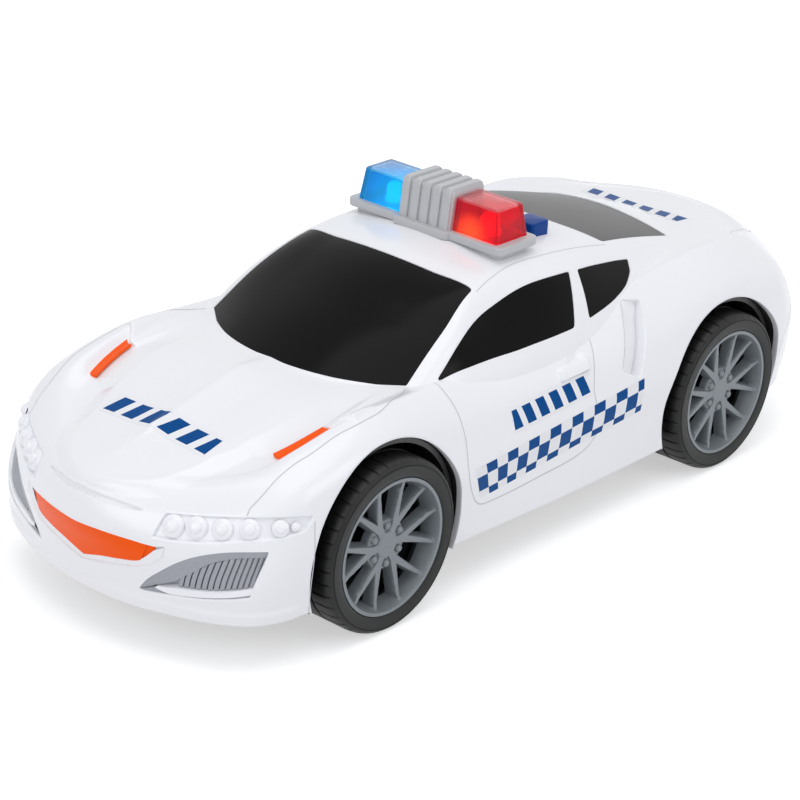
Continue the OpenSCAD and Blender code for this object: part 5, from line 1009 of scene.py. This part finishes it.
# Wheels: rims of ABS painted silver grey, with six forked spokes in a deep dish, a hub and six nuts.
# They are pressed on the axles and pushed into tyres of soft black PVC, which grip over the edge of the rim.
# The paint has fine flakes, drawn 0.3 mm wide so that they show; the PVC is dull, with a grain 0.5 mm wide.
rim_paint = flaked_paint("rim_paint", "#70767A", "#868C91", 0.3, 0.2, 0.4)
tyre_pvc, tyre_out = bare_material("soft_black_pvc")
tyre_place = add(tyre_pvc, "ShaderNodeTexCoord").outputs["Object"]
tyre_grain = add(tyre_pvc, "ShaderNodeTexNoise", {"Vector": tyre_place, "Scale": 1000 / 0.5, "Detail": 3.0})
tyre_tone = add(tyre_pvc, "ShaderNodeMix", {
    0: tyre_grain.outputs[0], 6: linear("#0B0C0C"), 7: linear("#161716")}, data_type="RGBA")
tyre_bump = add(tyre_pvc, "ShaderNodeBump", {
    "Height": tyre_grain.outputs[0], "Strength": 0.12, "Distance": 0.0002})
tyre_coat = add(tyre_pvc, "ShaderNodeBsdfPrincipled", {
    "Base Color": tyre_tone.outputs[2], "Roughness": 0.46, "Specular IOR Level": 0.32,
    "Normal": tyre_bump.outputs[0]})
tyre_pvc.node_tree.links.new(tyre_coat.outputs[0], tyre_out.inputs["Surface"])
rim_radius, rim_face = 19.5, 55.4
spoke_count, fork_start, fork_slope, nut_circle = 6, 5.5, 0.377, 5.6
half_pitch = math.pi / spoke_count
wheel_r = np.concatenate([np.linspace(0, 2.4, 5), np.linspace(2.5, 2.9, 4), np.linspace(3.1, 18.2, 78),
    np.linspace(18.4, rim_radius, 8)])
wheel_a = np.linspace(0, 2 * math.pi, 481)
r, a = np.meshgrid(wheel_r, wheel_a)
# The height of the rim's face at radius r and angle a is that of the highest of spokes, hub, nuts and dish.
# A spoke is a ridge with sloping sides along two straight tines, which part at the start of the fork.
from_middle = np.abs((a + half_pitch) % (2 * half_pitch) - half_pitch)
spread = fork_slope * np.maximum(r - fork_start, 0) / np.maximum(r, 1)
from_tine = r * np.abs(from_middle - spread)
half_width = np.interp(r, [3, 5, 8, 12, 16.5, 18.4], [1.45, 1.45, 1.25, 1.05, 0.9, 0.8])
tine_face = np.interp(r, [0, 8, 16, 18.4], [-2.3, -2.2, -1.7, -1.2])
spoke = tine_face - 5.6 * np.clip(from_tine - half_width + 0.3, 0, 1) ** 1.3
hub = -2.8 - 5 * eased((r - 6.9) / 1.7)
height = np.maximum(spoke, hub)
for k in range(spoke_count):
    nut_a = (2 * k + 1) * half_pitch
    from_nut = np.hypot(r * np.cos(a) - nut_circle * math.cos(nut_a),
        r * np.sin(a) - nut_circle * math.sin(nut_a))
    height = np.maximum(height, -1.7 - 0.4 * from_nut ** 2 - 5 * eased((from_nut - 1.0) / 0.3))
height = np.where(r < 4.3, np.maximum(height, -2.15 - 2 * eased((r - 3.6) / 0.7)), height)
dish = -np.interp(r, [0, 16.8, 18.3, 18.55, rim_radius], [9, 6.5, 0.6, 0.0, 0.0])
height = np.maximum(height, dish)
rim_front = np.stack([r * np.cos(a), rim_face + height, r * np.sin(a)], axis=-1)
rim_keep = np.where(r < 17.2, height + 5.2, 3.0)
front_points, front_quads, front_corners = trimmed(rim_front, rim_keep)


def lathe(profile, n, wave=None):
    """A profile of (radius, y) pairs turned round the axle, with an optional change of radius round and
    across it."""
    profile = np.array(profile, float)
    a = np.linspace(0, 2 * math.pi, n + 1)[:, None]
    radius = np.broadcast_to(profile[:, 0], (n + 1, len(profile)))
    if wave is not None:
        radius = radius + wave(a, profile[None, :, 0], profile[None, :, 1])
    points = np.stack([radius * np.cos(a), np.broadcast_to(profile[:, 1], radius.shape), radius * np.sin(a)],
        axis=-1)
    return points.reshape(-1, 3), grid_faces(n + 1, len(profile))


barrel = lathe([(rim_radius, rim_face), (rim_radius, 36.0), (18.2, 35.4), (17.2, 35.4), (17.2, 48.0),
    (0.01, 48.0)], 120)
# Behind the spokes: a flat black disc 7 mm back from the face, painted shade that darkens the holes of the
# dish.
wheel_shade_disc = lathe([(17.1, 48.6), (0.01, 48.6)], 96)
tyre_middle = 45.3
tyre_side = [
    (19.5, 54.7), (19.62, 55.2), (19.95, 55.45), (20.6, 55.6), (21.6, 55.72), (22.6, 55.78),
    (22.95, 55.8), (23.05, 55.62), (23.2, 55.62), (23.3, 55.78), (23.4, 55.62), (23.55, 55.6),
    (23.75, 55.55), (24.1, 55.3), (24.45, 54.8), (24.7, 54.1), (24.85, 53.2), (24.9, 52.2), (24.9, 50.6),
    (24.9, 49.4)]
tyre_profile = np.array(tyre_side + [(24.9, 48.2), (24.3, 48.1), (24.3, 47.3), (24.9, 47.2), (24.9, 43.4),
    (24.3, 43.3), (24.3, 42.5), (24.9, 42.4)] + [(p[0], 2 * tyre_middle - p[1]) for p in tyre_side[::-1]])


def tread(a, radius, y):
    """Fine slots across both shoulders of the tread, 40 round the tyre and 0.35 mm deep."""
    off = y - tyre_middle
    gap = np.abs((a * 40 / (2 * math.pi) + 0.25 * np.sign(off)) % 1 - 0.5) * 2
    on_tread = eased((np.abs(off) - 3.4) / 0.4) * eased((radius - 23.9) / 0.4)
    return -0.35 * eased((0.16 - gap) / 0.08) * on_tread


tyre_points, tyre_faces = lathe(tyre_profile, 768, tread)
for end, x in (("front", axle_x), ("rear", -axle_x)):
    for side_name, side in (("left", 1), ("right", -1)):
        centre = np.array([x, 0, axle_height])
        points = np.concatenate([front_points, barrel[0]])
        faces = [front_quads[:, ::-1], front_corners[:, ::-1], barrel[1] + len(front_points)]
        rim = make_piece(f"{side_name}_{end}_rim_painted", points * (1, side, 1) + centre,
            [f[:, ::side] for f in faces], rim_paint, body=end + "_wheels", sharp=50)
        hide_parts(f"{side_name}_{end}_rim")
        tyre = make_piece(f"{side_name}_{end}_tyre_soft", tyre_points * (1, side, 1) + centre,
            tyre_faces[:, ::side], tyre_pvc, body=end + "_wheels", sharp=40)
        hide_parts(f"{side_name}_{end}_tyre")
        shade_disc = make_piece(f"{side_name}_{end}_wheel_shade_disc", wheel_shade_disc[0] * (1, side, 1) + centre,
            wheel_shade_disc[1][:, ::side], black_abs_and_painted_shade, body=end + "_wheels")

# Inside and below: chassis, battery box, circuit board, friction drive and axles keep the shapes of their
# solids. They are plain working pieces of textured or bare plastics, plated steel and cast iron, dull beside
# the shell, and get only their materials here.
def metal(name, colour, roughness, marks_mm):
    """Bare or plated metal: turning or rolling marks, the given mm wide, break up its reflections into a
    soft shine."""
    made, out = bare_material(name)
    place = add(made, "ShaderNodeTexCoord").outputs["Object"]
    marks = add(made, "ShaderNodeTexNoise", {"Vector": place, "Scale": 1000 / marks_mm, "Detail": 3.0})
    rough = add(made, "ShaderNodeMapRange", {
        "Value": marks.outputs[0], 3: roughness * 0.7, 4: roughness * 1.3})
    shine = add(made, "ShaderNodeBsdfPrincipled", {
        "Base Color": linear(colour), "Metallic": 1.0, "Roughness": rough.outputs[0]})
    made.node_tree.links.new(shine.outputs[0], out.inputs["Surface"])
    return made


steel = metal("plated_steel", "#B8B9BC", 0.28, 0.4)
lit_red = clear_plastic("lit_red_lamp", "#FF5A2A", "#FF4018", "#FF5A2A", "#FF5020",
                        (-0.0025, 0.0182, 0.088), 0.02, 1.4)
lit_blue = clear_plastic("lit_blue_lamp", "#5ADFFF", "#2AB8FF", "#5ADFFF", "#40D8F8",
                         (-0.0025, -0.0182, 0.088), 0.02, 1.3)
stuff = {
    floor_abs: ("chassis", "battery_door"),
    steel: ("chassis_screws", "battery_door_screw", "lightbar_screws", "board_screws", "gear_case_screws",
            "idler_pin", "front_axle", "rear_axle"),
    lit_red: ("red_led",),
    lit_blue: ("blue_led",),
    moulded_abs("shrink_sleeve", "#2B6B45", 0.35, tint=0.1): ("battery_cells",),
    metal("plated_spring_strip", "#C9C4B4", 0.3, 0.55): ("battery_contacts",),
    moulded_abs("green_board", "#1D6B3A", 0.4, tint=0.12): ("circuit_board",),
    moulded_abs("black_switch", "#1B1B1C", 0.35, tint=0.1): ("tact_switch", "switch_plunger"),
    metal("speaker_tin", "#A5A6A8", 0.35, 0.65): ("speaker",),
    moulded_abs("black_ring", "#1E1E1F", 0.4, tint=0.1): ("speaker_ring",),
    moulded_abs("natural_nylon", "#E9E5D8", 0.38, tint=0.06): ("drive_gear", "idler_gear"),
    metal("cast_iron", "#6C6D70", 0.5, 1.1): ("flywheel",),
    moulded_abs("grey_case_abs", "#BDBDB8", 0.35, tint=0.05): ("gear_case", "gear_case_cover"),
    moulded_abs("red_lead_pvc", "#A81E1E", 0.4, tint=0.1): ("battery_lead",),
    moulded_abs("blue_lead_pvc", "#26309A", 0.4, tint=0.1): ("speaker_lead",)}
for material, names in stuff.items():
    for node_name in names:
        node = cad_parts[node_name]
        for held in node.material_slots:
            held.link = "OBJECT"
            held.material = material
